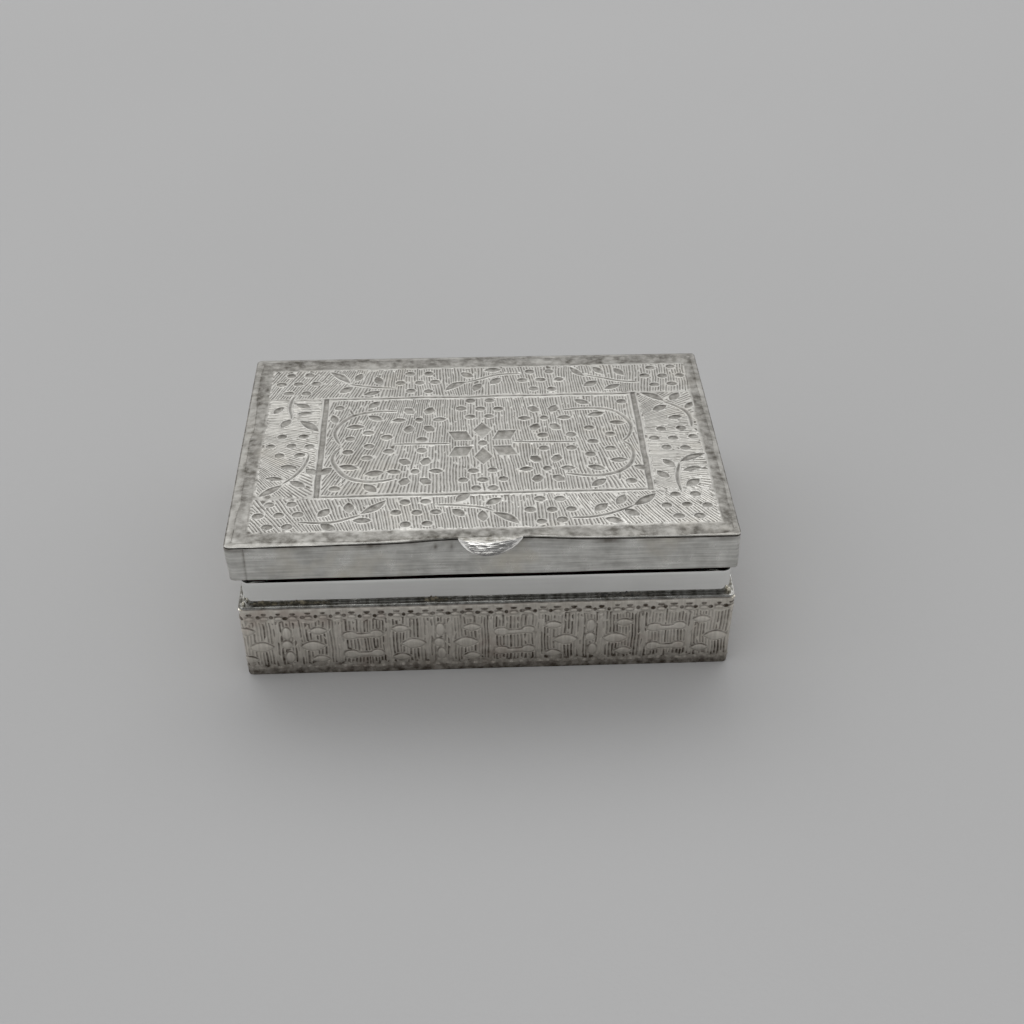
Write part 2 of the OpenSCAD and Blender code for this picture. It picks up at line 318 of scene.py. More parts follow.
def add_piece(name, points, faces, material, body, replaces=(), shade=60, lid=False, marks=None):
    """A mesh object from points in mm. shade is the angle of a sharp edge, or one flag per face."""
    points = np.asarray(points, float).reshape(-1, 3)
    if lid:
        points = turned(settled(points), AJAR)
    mesh = bpy.data.meshes.new(name)
    mesh.from_pydata((points * MM).tolist(), [], [list(map(int, f)) for f in faces])
    if np.ndim(shade):
        mesh.polygons.foreach_set("use_smooth", np.asarray(shade, bool))
    else:
        mesh.polygons.foreach_set("use_smooth", np.ones(len(mesh.polygons), bool))
        mesh.set_sharp_from_angle(angle=math.radians(shade))
    for mark, values in (marks or {}).items():
        layer = mesh.attributes.new(mark, "FLOAT", "POINT")
        layer.data.foreach_set("value", np.asarray(values, np.float32))
    facing = bmesh.new()
    facing.from_mesh(mesh)
    bmesh.ops.recalc_face_normals(facing, faces=facing.faces)
    facing.to_mesh(mesh)
    facing.free()
    mesh.materials.append(material)
    piece = bpy.data.objects.new(name, mesh)
    bpy.context.scene.collection.objects.link(piece)
    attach(piece, body)
    if replaces:
        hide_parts(*replaces)
    return piece


def rings_to_faces(count, rings, closed=True):
    """Quads between successive rings of equal count, and from the last ring to the first if closed."""
    i = np.arange(count)
    j = (i + 1) % count
    faces = []
    for r in range(rings if closed else rings - 1):
        a, b = r * count, (r + 1) % rings * count
        faces.append(np.stack([a + i, a + j, b + j, b + i], 1))
    return np.concatenate(faces)


def bar_faces(count, per):
    """Faces of a bar with per points in each of its sections, closed at both ends."""
    sides = rings_to_faces(per, count, closed=False).tolist()
    return [*sides, list(range(per)), list(range((count - 1) * per, count * per))[::-1]]


class Plan:
    """Points, and edges that the triangulation keeps, of an embossed sheet laid flat."""

    def __init__(self):
        self.points, self.edges, self.marks = [], [], []

    def line(self, points, mark=0.0, closed=False):
        start, count = len(self.points), len(points)
        self.points.extend(map(tuple, points))
        self.marks.extend(np.broadcast_to(mark, count).tolist())
        last = count if closed else count - 1
        self.edges.extend((start + i, start + (i + 1) % count) for i in range(last))

    def scatter(self, points):
        self.points.extend(map(tuple, points))
        self.marks.extend([0.0] * len(points))

    def triangles(self):
        made = delaunay_2d_cdt([tuple(p) for p in self.points], self.edges, [], 1, 1e-4, True)
        marks = np.array([self.marks[ids[0]] if ids else 0.0 for ids in made[3]])
        return np.array([tuple(v) for v in made[0]]), np.array(made[2]), marks


def hatch(plan, zone, seeds, path, clear, ends, rng, margin=0.15, heights=(0.6, 1.2)):
    """Ploughed lines, crest and trough in turn. path gives a line's points and clear their freedom."""
    fade = 0.13
    for k, seed in enumerate(seeds):
        line = path(seed)
        free = inside(line, *zone) & (clear(line) > margin)
        kept = np.flatnonzero(free)
        if not len(kept):
            continue
        cut = rng.integers(0, ends + 1, 2)
        free[: kept[0] + cut[0]] = False
        free[kept[-1] + 1 - cut[1] :] = False
        for lift in range(int(rng.uniform(40, 140)), len(free), int(rng.uniform(90, 180))):
            free[lift : lift + rng.integers(2, 5)] = False
        height = (1 if k % 2 else -1) * rng.uniform(*heights)
        turns = np.flatnonzero(np.diff(np.concatenate([[0], free.astype(int), [0]])))
        for a, b in zip(turns[::2], turns[1::2] - 1):
            steps = np.linalg.norm(np.diff(line[a : b + 1], axis=0), axis=1)
            along = np.concatenate([[0], np.cumsum(steps)])
            if along[-1] < 3 * fade:
                continue
            inner = np.linspace(fade, along[-1] - fade, max(2, int(along[-1] / 1.3) + 1))
            at = np.concatenate([[0], inner, [along[-1]]])
            run = np.stack([np.interp(at, along, line[a : b + 1, i]) for i in (0, 1)], 1)
            full = np.full(len(at), height)
            full[[0, -1]] = 0
            plan.line(run, full)


def spaced(low, high, pitch, lean, rng):
    """Places from low to high, trough and crest in turn, with a crest nearer to the trough after it."""
    out = [low]
    while out[-1] < high:
        share = 0.36 if len(out) % 2 == 0 else 0.64
        out.append(out[-1] + share * pitch / math.cos(lean(out[-1])) * rng.uniform(0.75, 1.28))
    return out


# Materials


def socket_input(tree, node, key, value):
    target = node.inputs[key]
    if isinstance(value, bpy.types.NodeSocket):
        tree.links.new(value, target)
    else:
        target.default_value = value


def add(tree, kind, inputs=None, **settings):
    node = tree.nodes.new(kind)
    for key, value in settings.items():
        setattr(node, key, value)
    for key, value in (inputs or {}).items():
        socket_input(tree, node, key, value)
    return node


def new_material(name):
    material = bpy.data.materials.new(name)
    material.use_nodes = True
    return material, material.node_tree, material.node_tree.nodes["Principled BSDF"]


def in_mm(tree, scale=(1, 1, 1)):
    """The object's own coordinates in millimetres, stretched by scale."""
    place = add(tree, "ShaderNodeTexCoord")
    size = tuple(s / MM for s in scale)
    return add(tree, "ShaderNodeMapping", {"Vector": place.outputs["Object"], "Scale": size}).outputs[0]


def noise(tree, vector, scale, detail=3.0, rough=0.55):
    return add(
        tree,
        "ShaderNodeTexNoise",
        {"Vector": vector, "Scale": scale, "Detail": detail, "Roughness": rough},
    ).outputs["Fac"]


def ranged(tree, value, from_low, from_high, low, high):
    return add(
        tree,
        "ShaderNodeMapRange",
        {"Value": value, "From Min": from_low, "From Max": from_high, "To Min": low, "To Max": high},
    ).outputs[0]


def maths(tree, operation, a, b):
    return add(tree, "ShaderNodeMath", {0: a, 1: b}, operation=operation).outputs[0]


def mixed(tree, factor, a, b, blend="MIX"):
    node = add(tree, "ShaderNodeMix", data_type="RGBA", blend_type=blend)
    for key, value in ((0, factor), (6, a), (7, b)):
        if isinstance(value, tuple) and len(value) == 3:
            value = (*value, 1)
        socket_input(tree, node, key, value)
    return node.outputs[2]


def bumped(tree, bsdf, distance, height, strength=1.0):
    """Roughens a surface by a height, where distance in mm is the depth of a whole unit."""
    bump = add(tree, "ShaderNodeBump", {"Strength": strength, "Distance": distance * MM, "Height": height})
    socket_input(tree, bsdf, "Normal", bump.outputs[0])


def silver(
    name, light, dark, rough, streak, streak_depth, streak_share, mottle,
    tarnish_and_shade=None, tarnish_shade_colour=(0.12, 0.10, 0.08), stain=None,
):
    """Silver-tone sheet: blotched tone, drawn or brushed streaks and, where marked, a dark mix that is partly
    tarnish and partly painted shade.
    """
    material, tree, bsdf = new_material(name)
    mm = in_mm(tree)
    streaks = noise(tree, in_mm(tree, streak), 1.0, 2.0, 0.6)
    blotch = noise(tree, mm, mottle, 4.0, 0.6)
    fine = noise(tree, mm, 1.0, 4.0, 0.6)
    tone = maths(tree, "MULTIPLY", streaks, streak_share)
    tone = maths(tree, "ADD", tone, maths(tree, "MULTIPLY", blotch, 1 - streak_share))
    colour = mixed(tree, ranged(tree, tone, 0.36, 0.64, 0, 1), dark, light)
    roughness = ranged(tree, maths(tree, "ADD", blotch, fine), 0.8, 1.2, rough[1], rough[0])
    if stain:
        place, stain_colour, strength = stain
        patch = ranged(tree, noise(tree, mm, place, 3.0, 0.7), 0.56, 0.70, 0, strength)
        colour = mixed(tree, patch, colour, stain_colour)
    # Where the mark is set, a dark colour is mixed in: real tarnish in some places, painted shade and painted
    # reflection in others.
    if tarnish_and_shade:
        mark = add(tree, "ShaderNodeAttribute", attribute_name="tarnish_and_shade").outputs["Fac"]
        mark = ranged(tree, mark, 0, 1, 0, 1)
        patchy = ranged(tree, fine, 0.35, 0.65, 0.62 * tarnish_and_shade, 1.12 * tarnish_and_shade)
        share = maths(tree, "MULTIPLY", mark, patchy)
        colour = mixed(tree, share, colour, tarnish_shade_colour)
        roughness = maths(tree, "ADD", roughness, maths(tree, "MULTIPLY", share, 0.25))
    bumped(tree, bsdf, streak_depth, maths(tree, "ADD", streaks, maths(tree, "MULTIPLY", fine, 0.35)))
    socket_input(tree, bsdf, "Base Color", colour)
    socket_input(tree, bsdf, "Roughness", roughness)
    bsdf.inputs["Metallic"].default_value = 1.0
    return material


CHASED = silver(
    "chased_silver", (0.63, 0.62, 0.585), (0.54, 0.53, 0.50), rough=(0.36, 0.48),
    streak=(1.2, 1.2, 1.2), streak_depth=0.006, streak_share=0.3, mottle=0.16, tarnish_and_shade=0.92,
    tarnish_shade_colour=(0.115, 0.107, 0.092), stain=(0.10, (0.55, 0.52, 0.46), 0.4),
)
BRUSHED = silver(
    "brushed_silver", (0.76, 0.755, 0.72), (0.45, 0.445, 0.42), rough=(0.26, 0.44),
    streak=(0.12, 0.12, 3.0), streak_depth=0.012, streak_share=0.5, mottle=0.3, tarnish_and_shade=0.85,
    stain=(0.07, (0.64, 0.60, 0.51), 0.6),
)
POLISHED = silver(
    "polished_silver", (0.87, 0.87, 0.85), (0.80, 0.80, 0.78), rough=(0.06, 0.13),
    streak=(0.08, 0.08, 2.0), streak_depth=0.0012, streak_share=0.4, mottle=0.12, tarnish_and_shade=0.95,
    tarnish_shade_colour=(0.10, 0.095, 0.08),
)
EMBOSSED = silver(
    "embossed_silver", (0.91, 0.865, 0.79), (0.66, 0.62, 0.555), rough=(0.28, 0.46),
    streak=(3.0, 3.0, 0.2), streak_depth=0.008, streak_share=0.4, mottle=0.18, tarnish_and_shade=1.0,
    tarnish_shade_colour=(0.085, 0.068, 0.052), stain=(0.12, (0.58, 0.49, 0.43), 0.6),
)
HINGE_METAL = silver(
    "hinge_silver", (0.70, 0.69, 0.67), (0.50, 0.49, 0.47), rough=(0.25, 0.42),
    streak=(0.15, 3.0, 3.0), streak_depth=0.006, streak_share=0.5, mottle=0.35, tarnish_and_shade=0.6,
)
SOLDER = silver(
    "solder", (0.88, 0.85, 0.75), (0.62, 0.58, 0.48), rough=(0.16, 0.32),
    streak=(1.2, 1.2, 1.2), streak_depth=0.02, streak_share=0.5, mottle=0.9,
)
TAB = silver(
    "worn_tab", (0.86, 0.85, 0.83), (0.66, 0.65, 0.62), rough=(0.10, 0.26),
    streak=(0.5, 3.5, 3.5), streak_depth=0.05, streak_share=0.6, mottle=0.5, tarnish_and_shade=1.0,
    tarnish_shade_colour=(0.20, 0.19, 0.165),
)


def flux_material(name, dark, light):
    """Glassy flux baked on where the collar was soldered to the ledge."""
    material, tree, bsdf = new_material(name)
    mm = in_mm(tree)
    patch = noise(tree, mm, 1.3, 4.0, 0.6)
    colour = mixed(tree, ranged(tree, patch, 0.45, 0.68, 0, 1), dark, light)
    socket_input(tree, bsdf, "Base Color", colour)
    socket_input(tree, bsdf, "Roughness", ranged(tree, patch, 0.3, 0.7, 0.25, 0.6))
    bumped(tree, bsdf, 0.03, noise(tree, mm, 4.0))
    return material


def velvet_material():
    material, tree, bsdf = new_material("velvet")
    mm = in_mm(tree)
    nap = noise(tree, mm, 0.16, 2.0, 0.5)
    pile = noise(tree, mm, 5.0, 2.0, 0.7)
    colour = mixed(tree, ranged(tree, nap, 0.35, 0.65, 0, 1), (0.16, 0.010, 0.026), (0.27, 0.022, 0.05))
    colour = mixed(tree, ranged(tree, pile, 0.3, 0.7, 0.5, 0), colour, (0.07, 0.004, 0.012))
    socket_input(tree, bsdf, "Base Color", colour)
    bumped(tree, bsdf, 0.12, pile, 0.8)
    bsdf.inputs["Roughness"].default_value = 0.9
    bsdf.inputs["Sheen Weight"].default_value = 0.8
    bsdf.inputs["Sheen Roughness"].default_value = 0.35
    bsdf.inputs["Sheen Tint"].default_value = (0.9, 0.5, 0.55, 1)
    return material


BROWN_FLUX = flux_material("brown_flux", (0.035, 0.029, 0.014), (0.27, 0.235, 0.16))
BLACK_FLUX = flux_material("black_flux", (0.016, 0.015, 0.013), (0.13, 0.12, 0.10))
VELVET = velvet_material()

# The lid's chased top. Readings are x and the distance from the lid's back edge.

READ_DEPTH = 51.0
CHASE = 0.14
WALL = 0.13
LIP = 0.022
LIP_W = 0.11
HATCH = 0.055
PITCH = 0.45
BEVEL_DROP = 0.12
OUT_OF_SQUARE = 0.7


def on_lid(x, back):
    return x, HALF_D - back * 2 * HALF_D / READ_DEPTH


FIELD = (-35.8, 35.6, on_lid(0, 48.3)[1], on_lid(0, 3.3)[1])
FIELD_LIMITS = (FIELD[0] + 0.1, FIELD[2] + 0.1), (FIELD[1] - 0.1, FIELD[3] - 0.1)
FRAME_X, FRAME_BACK = (-25.9, 25.7), (12.6, 39.5)
FRAME_W, FRAME_SIDE_W = 0.46, 0.92

CLUSTERS = [
    (-31, 7.6), (-10.5, 7.8), (10.4, 7.9), (31.3, 7.4), (-30.9, 25.7), (30.9, 25.9),
    (-31.2, 43.8), (-10.5, 43.9), (10, 43.9), (30.8, 43.7),
]
INNER_CLUSTERS = [(-0.2, 16.2), (-0.1, 35.9)]
DOT_SIZE = np.array([0.84, 0.68])
DOTS = [
    (-9.8, 24.8), (-15.5, 23.9), (-18.5, 22.5), (-21.4, 24.1), (-18.3, 26.3), (-21.6, 27.8),
    (-18.5, 29.5), (-15.1, 27.8), (-9.8, 27.8), (9.8, 24.3), (14.4, 24.3), (17.5, 22.5),
    (20.8, 24.4), (17.8, 26.4), (20.5, 28.4), (17.1, 29.9), (14.2, 28), (9.8, 27.9),
    (-23.6, 15.1), (-23.2, 37.4), (23.5, 15), (22.9, 37.2),
]
# x, distance from the back, angle, length and width of each leaf
LEAVES = [
    (-20.8, 5.9, 70, 2.7, 1.4), (-17.3, 7.05, 110, 2.9, 1.5), (-22.75, 9.7, 40, 2.8, 1.6),
    (-18.4, 10.8, 22, 3.1, 1.25), (-2.2, 5.8, -37, 2.7, 1.5), (-0.5, 9.7, 62, 2.7, 1.5),
    (2.6, 7.9, 48, 2.7, 1.6), (2.2, 4.5, 4, 3.0, 1.4), (20.4, 5.25, -58, 2.9, 1.4),
    (24, 5.8, -57, 2.9, 1.4), (18.75, 9.3, 35, 3.0, 1.6), (22.4, 10.4, 28, 3.2, 1.3),
    (32.6, 13.9, 55, 3.0, 1.6), (29.7, 17.2, 32, 3.0, 1.5), (34.6, 16.6, 55, 2.5, 1.2),
    (31.9, 20, 12, 2.6, 1.3), (29.3, 32.7, -50, 2.7, 1.4), (32.8, 34.5, 15, 3.3, 1.2),
    (28.1, 35.6, -45, 2.6, 1.5), (32.4, 38, 40, 3.0, 1.6), (20.8, 41.9, 60, 3.0, 1.5),
    (17.6, 43.7, 42, 2.9, 1.6), (22.2, 45.1, -37, 2.8, 1.6), (19.3, 46.9, -20, 2.9, 1.5),
    (-3.4, 40.5, 42, 2.9, 1.6), (-4.1, 44.1, -45, 2.6, 1.6), (1.3, 41.6, 33, 3.0, 1.5),
    (-0.4, 45.1, 92, 2.9, 1.5), (-24.5, 43.4, 50, 2.6, 1.6), (-20.7, 42.3, 97, 2.8, 1.6),
    (-18.6, 45.5, 0, 2.9, 1.4), (-23.6, 46.9, -35, 2.9, 1.6), (-30.7, 31.5, -10, 2.9, 1.4),
    (-32.75, 34.5, -8, 3.0, 1.2), (-29, 36.05, -35, 3.0, 1.5), (-27.1, 32.8, -45, 2.4, 1.6),
    (-24.9, 32.8, 45, 2.7, 1.6), (-29.7, 14.3, -30, 3.0, 1.4), (-29.3, 16.5, 5, 2.8, 1.05),
    (-33.7, 15.4, 55, 2.6, 1.3), (-32.2, 19.3, 62, 2.9, 1.5), (-17.9, 14.4, 50, 2.9, 1.5),
    (-24.3, 18.4, 105, 2.8, 1.3), (-17.5, 18.3, -32, 2.9, 1.4), (-20.7, 20.8, 0, 3.1, 1.3),
    (-21.3, 31.9, -15, 3.2, 1.4), (-17.2, 33.6, 10, 3.1, 1.7), (-17.7, 37.5, -48, 3.0, 1.6),
    (16.9, 14.8, -28, 2.9, 1.4), (18.9, 18.6, 15, 3.1, 1.4), (22.2, 21.1, -5, 2.8, 1.3),
    (21.5, 31.5, 0, 2.9, 1.4), (17.8, 33.5, -18, 3.0, 1.5), (17.8, 37.4, 38, 3.1, 1.5),
    (24.9, 33.6, -15, 2.6, 1.4),
]
# The same for the big bowed leaf that ends each spray, and how far it bows
TIP_LEAVES = [
    (-24, 5.9, -46, 5.2, 1.35, 0.25), (-4.15, 9.25, 37, 4.6, 1.5, 0.45), (16.8, 5.5, -54, 4.0, 1.2, -0.2),
    (28.8, 13.9, -38, 4.8, 1.5, 0.4), (33.2, 31.5, 27, 5.0, 1.3, 0.25), (24.4, 42, 39, 4.8, 1.6, -0.15),
    (3.1, 45.8, -38, 5.0, 1.5, 0.4), (-17.1, 42.3, 42, 5.2, 1.5, -0.3), (-33.1, 37.6, 41, 4.6, 1.4, 0.0),
    (-28.3, 20.2, -46, 4.9, 1.6, 0.1),
]
STEMS = [
    (0.42, [(-22.3, 7.9), (-21.2, 8.3), (-18.2, 9.0), (-14.3, 9.5)]),
    (0.45, [(-2.5, 8.2), (0.3, 7.05), (2.5, 6.1), (4.7, 5.8), (6.9, 5.8)]),
    (0.42, [(18.0, 6.6), (20.6, 7.5), (23.6, 8.6), (26.9, 9.2)]),
    (0.60, [(30.6, 15.4), (32.5, 16.8), (33.9, 18.4), (34.4, 20.4), (34.3, 22.9)]),
    (0.55, [(31, 32.7), (30.4, 34.9), (30.1, 37.2), (30.3, 40.2)]),
    (0.45, [(12.9, 46.05), (15.6, 46.05), (18.1, 45.5), (20.6, 44.5), (22.6, 43.4)]),
    (0.42, [(-7.6, 42.15), (-4.3, 42.3), (-0.5, 43), (1.3, 44)]),
    (0.48, [(-28.3, 45.55), (-25.1, 45.9), (-22.3, 45.6), (-19.0, 44.2)]),
    (0.48, [(-27.75, 28), (-28, 29.9), (-28.7, 32.2), (-29.8, 34.1), (-31.5, 36.1)]),
    (0.50, [(-31.1, 10.9), (-31.7, 12.3), (-31.9, 14.8), (-31.5, 16.8), (-31.4, 18.0)]),
    (0.40, [(-21.8, 15.8), (-21.2, 17.3)]),
    (0.62, [(-14, 16.6), (-16.5, 16.4), (-18.6, 16.6), (-21.1, 17.5), (-22.6, 19), (-23.7, 20.9),
            (-24, 22.6), (-23.6, 24.3), (-23, 25.6)]),
    (0.66, [(-22.8, 26.5), (-23.7, 28), (-24, 29.7), (-23.4, 31.6), (-22.3, 33.6), (-20.7, 35.1),
            (-18.4, 35.8), (-16.2, 35.8), (-13.9, 35.2)]),
    (0.40, [(-21.6, 34.8), (-22.2, 36.2)]),
    (0.58, [(13.5, 17.2), (14.7, 17), (16.9, 16.8), (19.2, 16.9), (21.7, 17.6), (23.3, 19.3),
            (24.3, 21.5), (24.2, 23.7), (23.5, 25.4), (22.6, 26.5)]),
    (0.62, [(22.5, 26.4), (23.6, 27.4), (24, 29.1), (23.9, 30.8), (23.2, 32.7), (21.9, 34.2),
            (20, 35.2), (16.9, 35.6), (12.9, 34.9)]),
    (0.40, [(21.4, 34.9), (21.1, 36.7)]),
    (0.38, [(-14.4, 25.9), (-5.2, 26.1)]),
    (0.38, [(4.8, 26.0), (15.1, 26.4)]),
]
FLOWERS = [(-10.3, 19.1), (10.3, 19.3), (-10.8, 33.4), (10.0, 33.4)]
STAR = (0, 26.1)


def lid_motifs():
    """Closed outlines of all that is sunk into the lid, and the middles of its thin strokes."""
    rng = np.random.default_rng(11)
    out, mids = [], []
    for centres, row in ((CLUSTERS, 2.8), (INNER_CLUSTERS, 2.45)):
        for x, back in centres:
            for dx, dy in ((-1.6, -1), (1.6, -1), (-3.1, 0), (0, 0), (3.0, 0), (-1.5, 1), (1.55, 1)):
                px, py = on_lid(x + dx, back)
                r = DOT_SIZE * rng.uniform(0.92, 1.08, 2)
                jitter = rng.normal(0, 0.12, 2)
                out.append(ellipse(*r) + (px + jitter[0], py - dy * row + jitter[1]))
    for x, back in DOTS:
        out.append(ellipse(*(DOT_SIZE * rng.uniform(0.97, 1.12, 2))) + on_lid(x, back))
    for x, back, angle, length, width in LEAVES:
        out.append(placed(leaf(length, width, rng.normal(0, 0.08)), *on_lid(x, back), angle))
    for x, back, angle, length, width, bow in TIP_LEAVES:
        out.append(placed(leaf(length, width, bow, 0.8, 9), *on_lid(x, back), angle))
    for width, points in STEMS:
        points = [on_lid(*p) for p in points]
        out.append(stroke(points, width))
        mids.append(curve(points)[1:-1])
    for x, back in FLOWERS:
        cx, cy = on_lid(x, back)
        out.append(ellipse(0.68, 0.68, 12) + (cx, cy))
        for side in (-1, 1):
            out.append(placed(leaf(2.4, 1.25), cx + side * 3.3, cy, rng.normal(0, 4)))
            for up in (-1, 1):
                turn = side * up * 55 + rng.normal(0, 5)
                at = (cx + side * 1.65, cy + up * 2.75)
                out.append(placed(blunt(2.3, 1.5), *at, turn))
    sx, sy = on_lid(*STAR)
    out.append(ellipse(0.75, 0.75) + (sx, sy))
    for up in (-1, 1):
        long_way = np.array([(0, 1.35), (1.5, 3.9), (0, 6.15), (-1.45, 3.9)]) * (1, up)
        out.append(long_way + (sx, sy))
        for side in (-1, 1):
            petal = np.array([(1.6, 0.95), (4.5, 0.95), (5.5, 3.55), (2.6, 3.55)]) * (side, up)
            out.append(petal + (sx, sy))
    (x0, x1), (b0, b1) = FRAME_X, FRAME_BACK
    corners = [(x0, b0), (x1, b0), (x1, b1), (x0, b1)]
    for (ax, ab), (bx, bb) in zip(corners, corners[1:] + corners[:1]):
        t = np.linspace(-0.01, 1.01, 14)[:, None]
        ends = np.array([on_lid(ax, ab), on_lid(bx, bb)])
        mid = ends[0] * (1 - t) + ends[1] * t
        mid += rng.normal(0, 0.05, mid.shape)
        width = FRAME_W if ab == bb else FRAME_SIDE_W
        out.append(stroke(mid, width, 0.85, 2.0))
        if ab == bb:
            mids.append(curve(mid, 2.0)[1:-1])
    return [np.clip(wound(outline), *FIELD_LIMITS) for outline in out], mids


def lean_table(table):
    """Lean of the hatching in radians against place, from rows of place and one or two angles."""
    places = [row[0] for row in table]
    low = np.radians([row[1] for row in table])
    high = np.radians([row[-1] for row in table])

    def lean(at, share=0.5):
        return (1 - share) * np.interp(at, places, low) + share * np.interp(at, places, high)

    return lean


# Lean of the hatching, in degrees: in the middle panel at its front and its back, elsewhere at one place
PANEL_LEAN = [(-24, 24, 10), (-18, 18, 13), (-12, 8, 5), (-6, 1, 0), (0, -4, 0), (4, -7, 0), (8, -3, -5),
              (14, -5, -4), (19, -18, 0), (25, -22, 2)]
BACK_LEAN = [(-36, 20), (-30, 23), (-26, 27), (-21, 16), (-16, 7), (-10, -3), (-4, -5), (0, 4), (5, -9),
             (9, -4), (14, 2), (20, -7), (26, 5), (36, 3)]
FRONT_LEAN = [(-36, -33), (-30, -29), (-25, -20), (-20, -13), (-12, -8), (-4, -5), (3, -1), (9, -3),
              (14, -16), (18, -23), (24, -26), (28, -32), (36, -38)]
LEFT_LEAN = [(-16, -58), (-11, -48), (-6, -36), (0, -24), (6, -11), (14, -4)]
RIGHT_LEAN = [(-16, -38), (-11, -14), (-6, -2), (0, 3), (4, 12), (8, 28), (14, 46)]


def upright(lean, zone):
    """Hatching that runs from a zone's front to its back."""
    y0, y1 = zone[2:]
    t = np.arange(y0, y1, 0.1)
    share = (t - y0) / (y1 - y0)

    def path(seed):
        x = seed + np.cumsum(np.tan(lean(seed, share))) * 0.1
        x -= np.interp((y0 + y1) / 2, t, x) - seed
        x += 0.08 * np.sin(0.7 * t + 0.25 * seed) + 0.035 * np.sin(2.1 * t - 0.6 * seed)
        return np.stack([x, t], 1)

    return path


def level(lean, zone):
    """Hatching that runs from a zone's left to its right."""
    x0, x1 = zone[:2]
    t = np.arange(x0, x1, 0.1)

    def path(seed):
        y = seed + np.tan(lean(seed)) * (t - (x0 + x1) / 2)
        y += 0.07 * np.sin(0.8 * t + 0.3 * seed)
        return np.stack([t, y], 1)

    return path


def hatch_lid(plan, clear):
    rng = np.random.default_rng(7)
    fx0, fx1, fy0, fy1 = FIELD
    edge, half = 0.2, FRAME_W / 2
    (ix0, ix1), (b0, b1) = FRAME_X, FRAME_BACK
    iy0, iy1 = on_lid(0, b1)[1], on_lid(0, b0)[1]
    beside = (iy0 - half + 0.1, iy1 + half - 0.1)
    over = (fx0 - 4, fx1 + 4)
    zones = [
        (upright, PANEL_LEAN, (ix0 + half, ix1 - half, iy0 + half, iy1 - half), (ix0 - 7, ix1 + 7), 3),
        (upright, BACK_LEAN, (fx0 + edge, fx1 - edge, iy1 + half, fy1 - edge), over, 4),
        (upright, FRONT_LEAN, (fx0 + edge, fx1 - edge, fy0 + edge, iy0 - half), over, 4),
        (level, LEFT_LEAN, (fx0 + edge, ix0 - half, *beside), (iy0 - 9, iy1 + 5), 4),
        (level, RIGHT_LEAN, (ix1 + half, fx1 - edge, *beside), (iy0 - 6, iy1 + 8), 4),
    ]
    for way, table, zone, reach, ends in zones:
        lean = lean_table(table)
        hatch(plan, zone, spaced(*reach, PITCH, lean, rng), way(lean, zone), clear, ends, rng)


def rings_about(plan, outlines, steps, low, high, least=0.0):
    """Keeps rings about each outline as edges of the sheet, the inner one if it is least deep."""
    for outline in outlines:
        for by in steps:
            if by < 0 and distance_to(outline, outline.mean(0)[None])[0] > -least:
                continue
            plan.line(np.clip(grown(outline, by), low, high), closed=True)


def sunk(distance):
    """Height beside and inside a motif, by distance from its outline."""
    lip = LIP * np.clip(1 - np.abs(distance - LIP_W) / LIP_W, 0, 1)
    return np.where(distance > 0, lip, -CHASE * smooth(-distance, 0, WALL))


def bevel_width(points):
    """Width of the filed edge, narrow only along the front past its left end."""
    x, y = points[:, 0], points[:, 1]
    width = 0.95 + ripple(points[:, :2], 33, 9, 0.13)
    front = smooth(-y, HALF_D - 3, HALF_D - 1.5) * smooth(np.abs(x), HALF_W - 0.8, HALF_W - 3)
    return width - front * (0.25 + 0.4 * smooth(x, -24, -12))


def lid_plan(motifs, mids, clear):
    """Every point and line that the chased sheet is meshed from."""
    fx0, fx1, fy0, fy1 = FIELD
    plan = Plan()
    for inset in (0.0, 0.08, 0.22):
        plan.line(rounded(HALF_W - inset, HALF_D - inset, BEND_R - inset), closed=True)
    ring = rounded(HALF_W - 1, HALF_D - 1, BEND_R, 0.7)
    for extra in (-0.09, 0.0, 0.09):
        width = bevel_width(ring) + extra
        plan.line(ring + outward(ring, 1 - width)[:, :2], closed=True)
    border = np.array([(fx0, fy0), (fx1, fy0), (fx1, fy1), (fx0, fy1)])
    t = np.linspace(0, 1, 60, endpoint=False)[:, None]
    for by in (0.0, 0.16):
        sides = grown(border, by)
        loop = np.concatenate([a * (1 - t) + b * t for a, b in zip(sides, np.roll(sides, -1, 0))])
        waver = np.stack([ripple(loop, 5, 3, 1), ripple(loop, 6, 3, 1)], 1)
        plan.line(loop + 0.03 * waver, closed=True)
    rings_about(plan, motifs, (LIP_W, 0.0, -WALL), *FIELD_LIMITS, 1.5 * WALL)
    for mid in mids:
        plan.line(mid)
    hatch_lid(plan, clear)
    spots = spread(37, 26, 0.9)
    spots = spots + np.random.default_rng(3).uniform(-0.2, 0.2, spots.shape)
    beside = ~inside(spots, fx0 - 0.3, fx1 + 0.3, fy0 - 0.3, fy1 + 0.3)
    within = inside(spots, 1.5 - HALF_W, HALF_W - 1.5, 1.5 - HALF_D, HALF_D - 1.5)
    plan.scatter(spots[beside & within])
    return plan


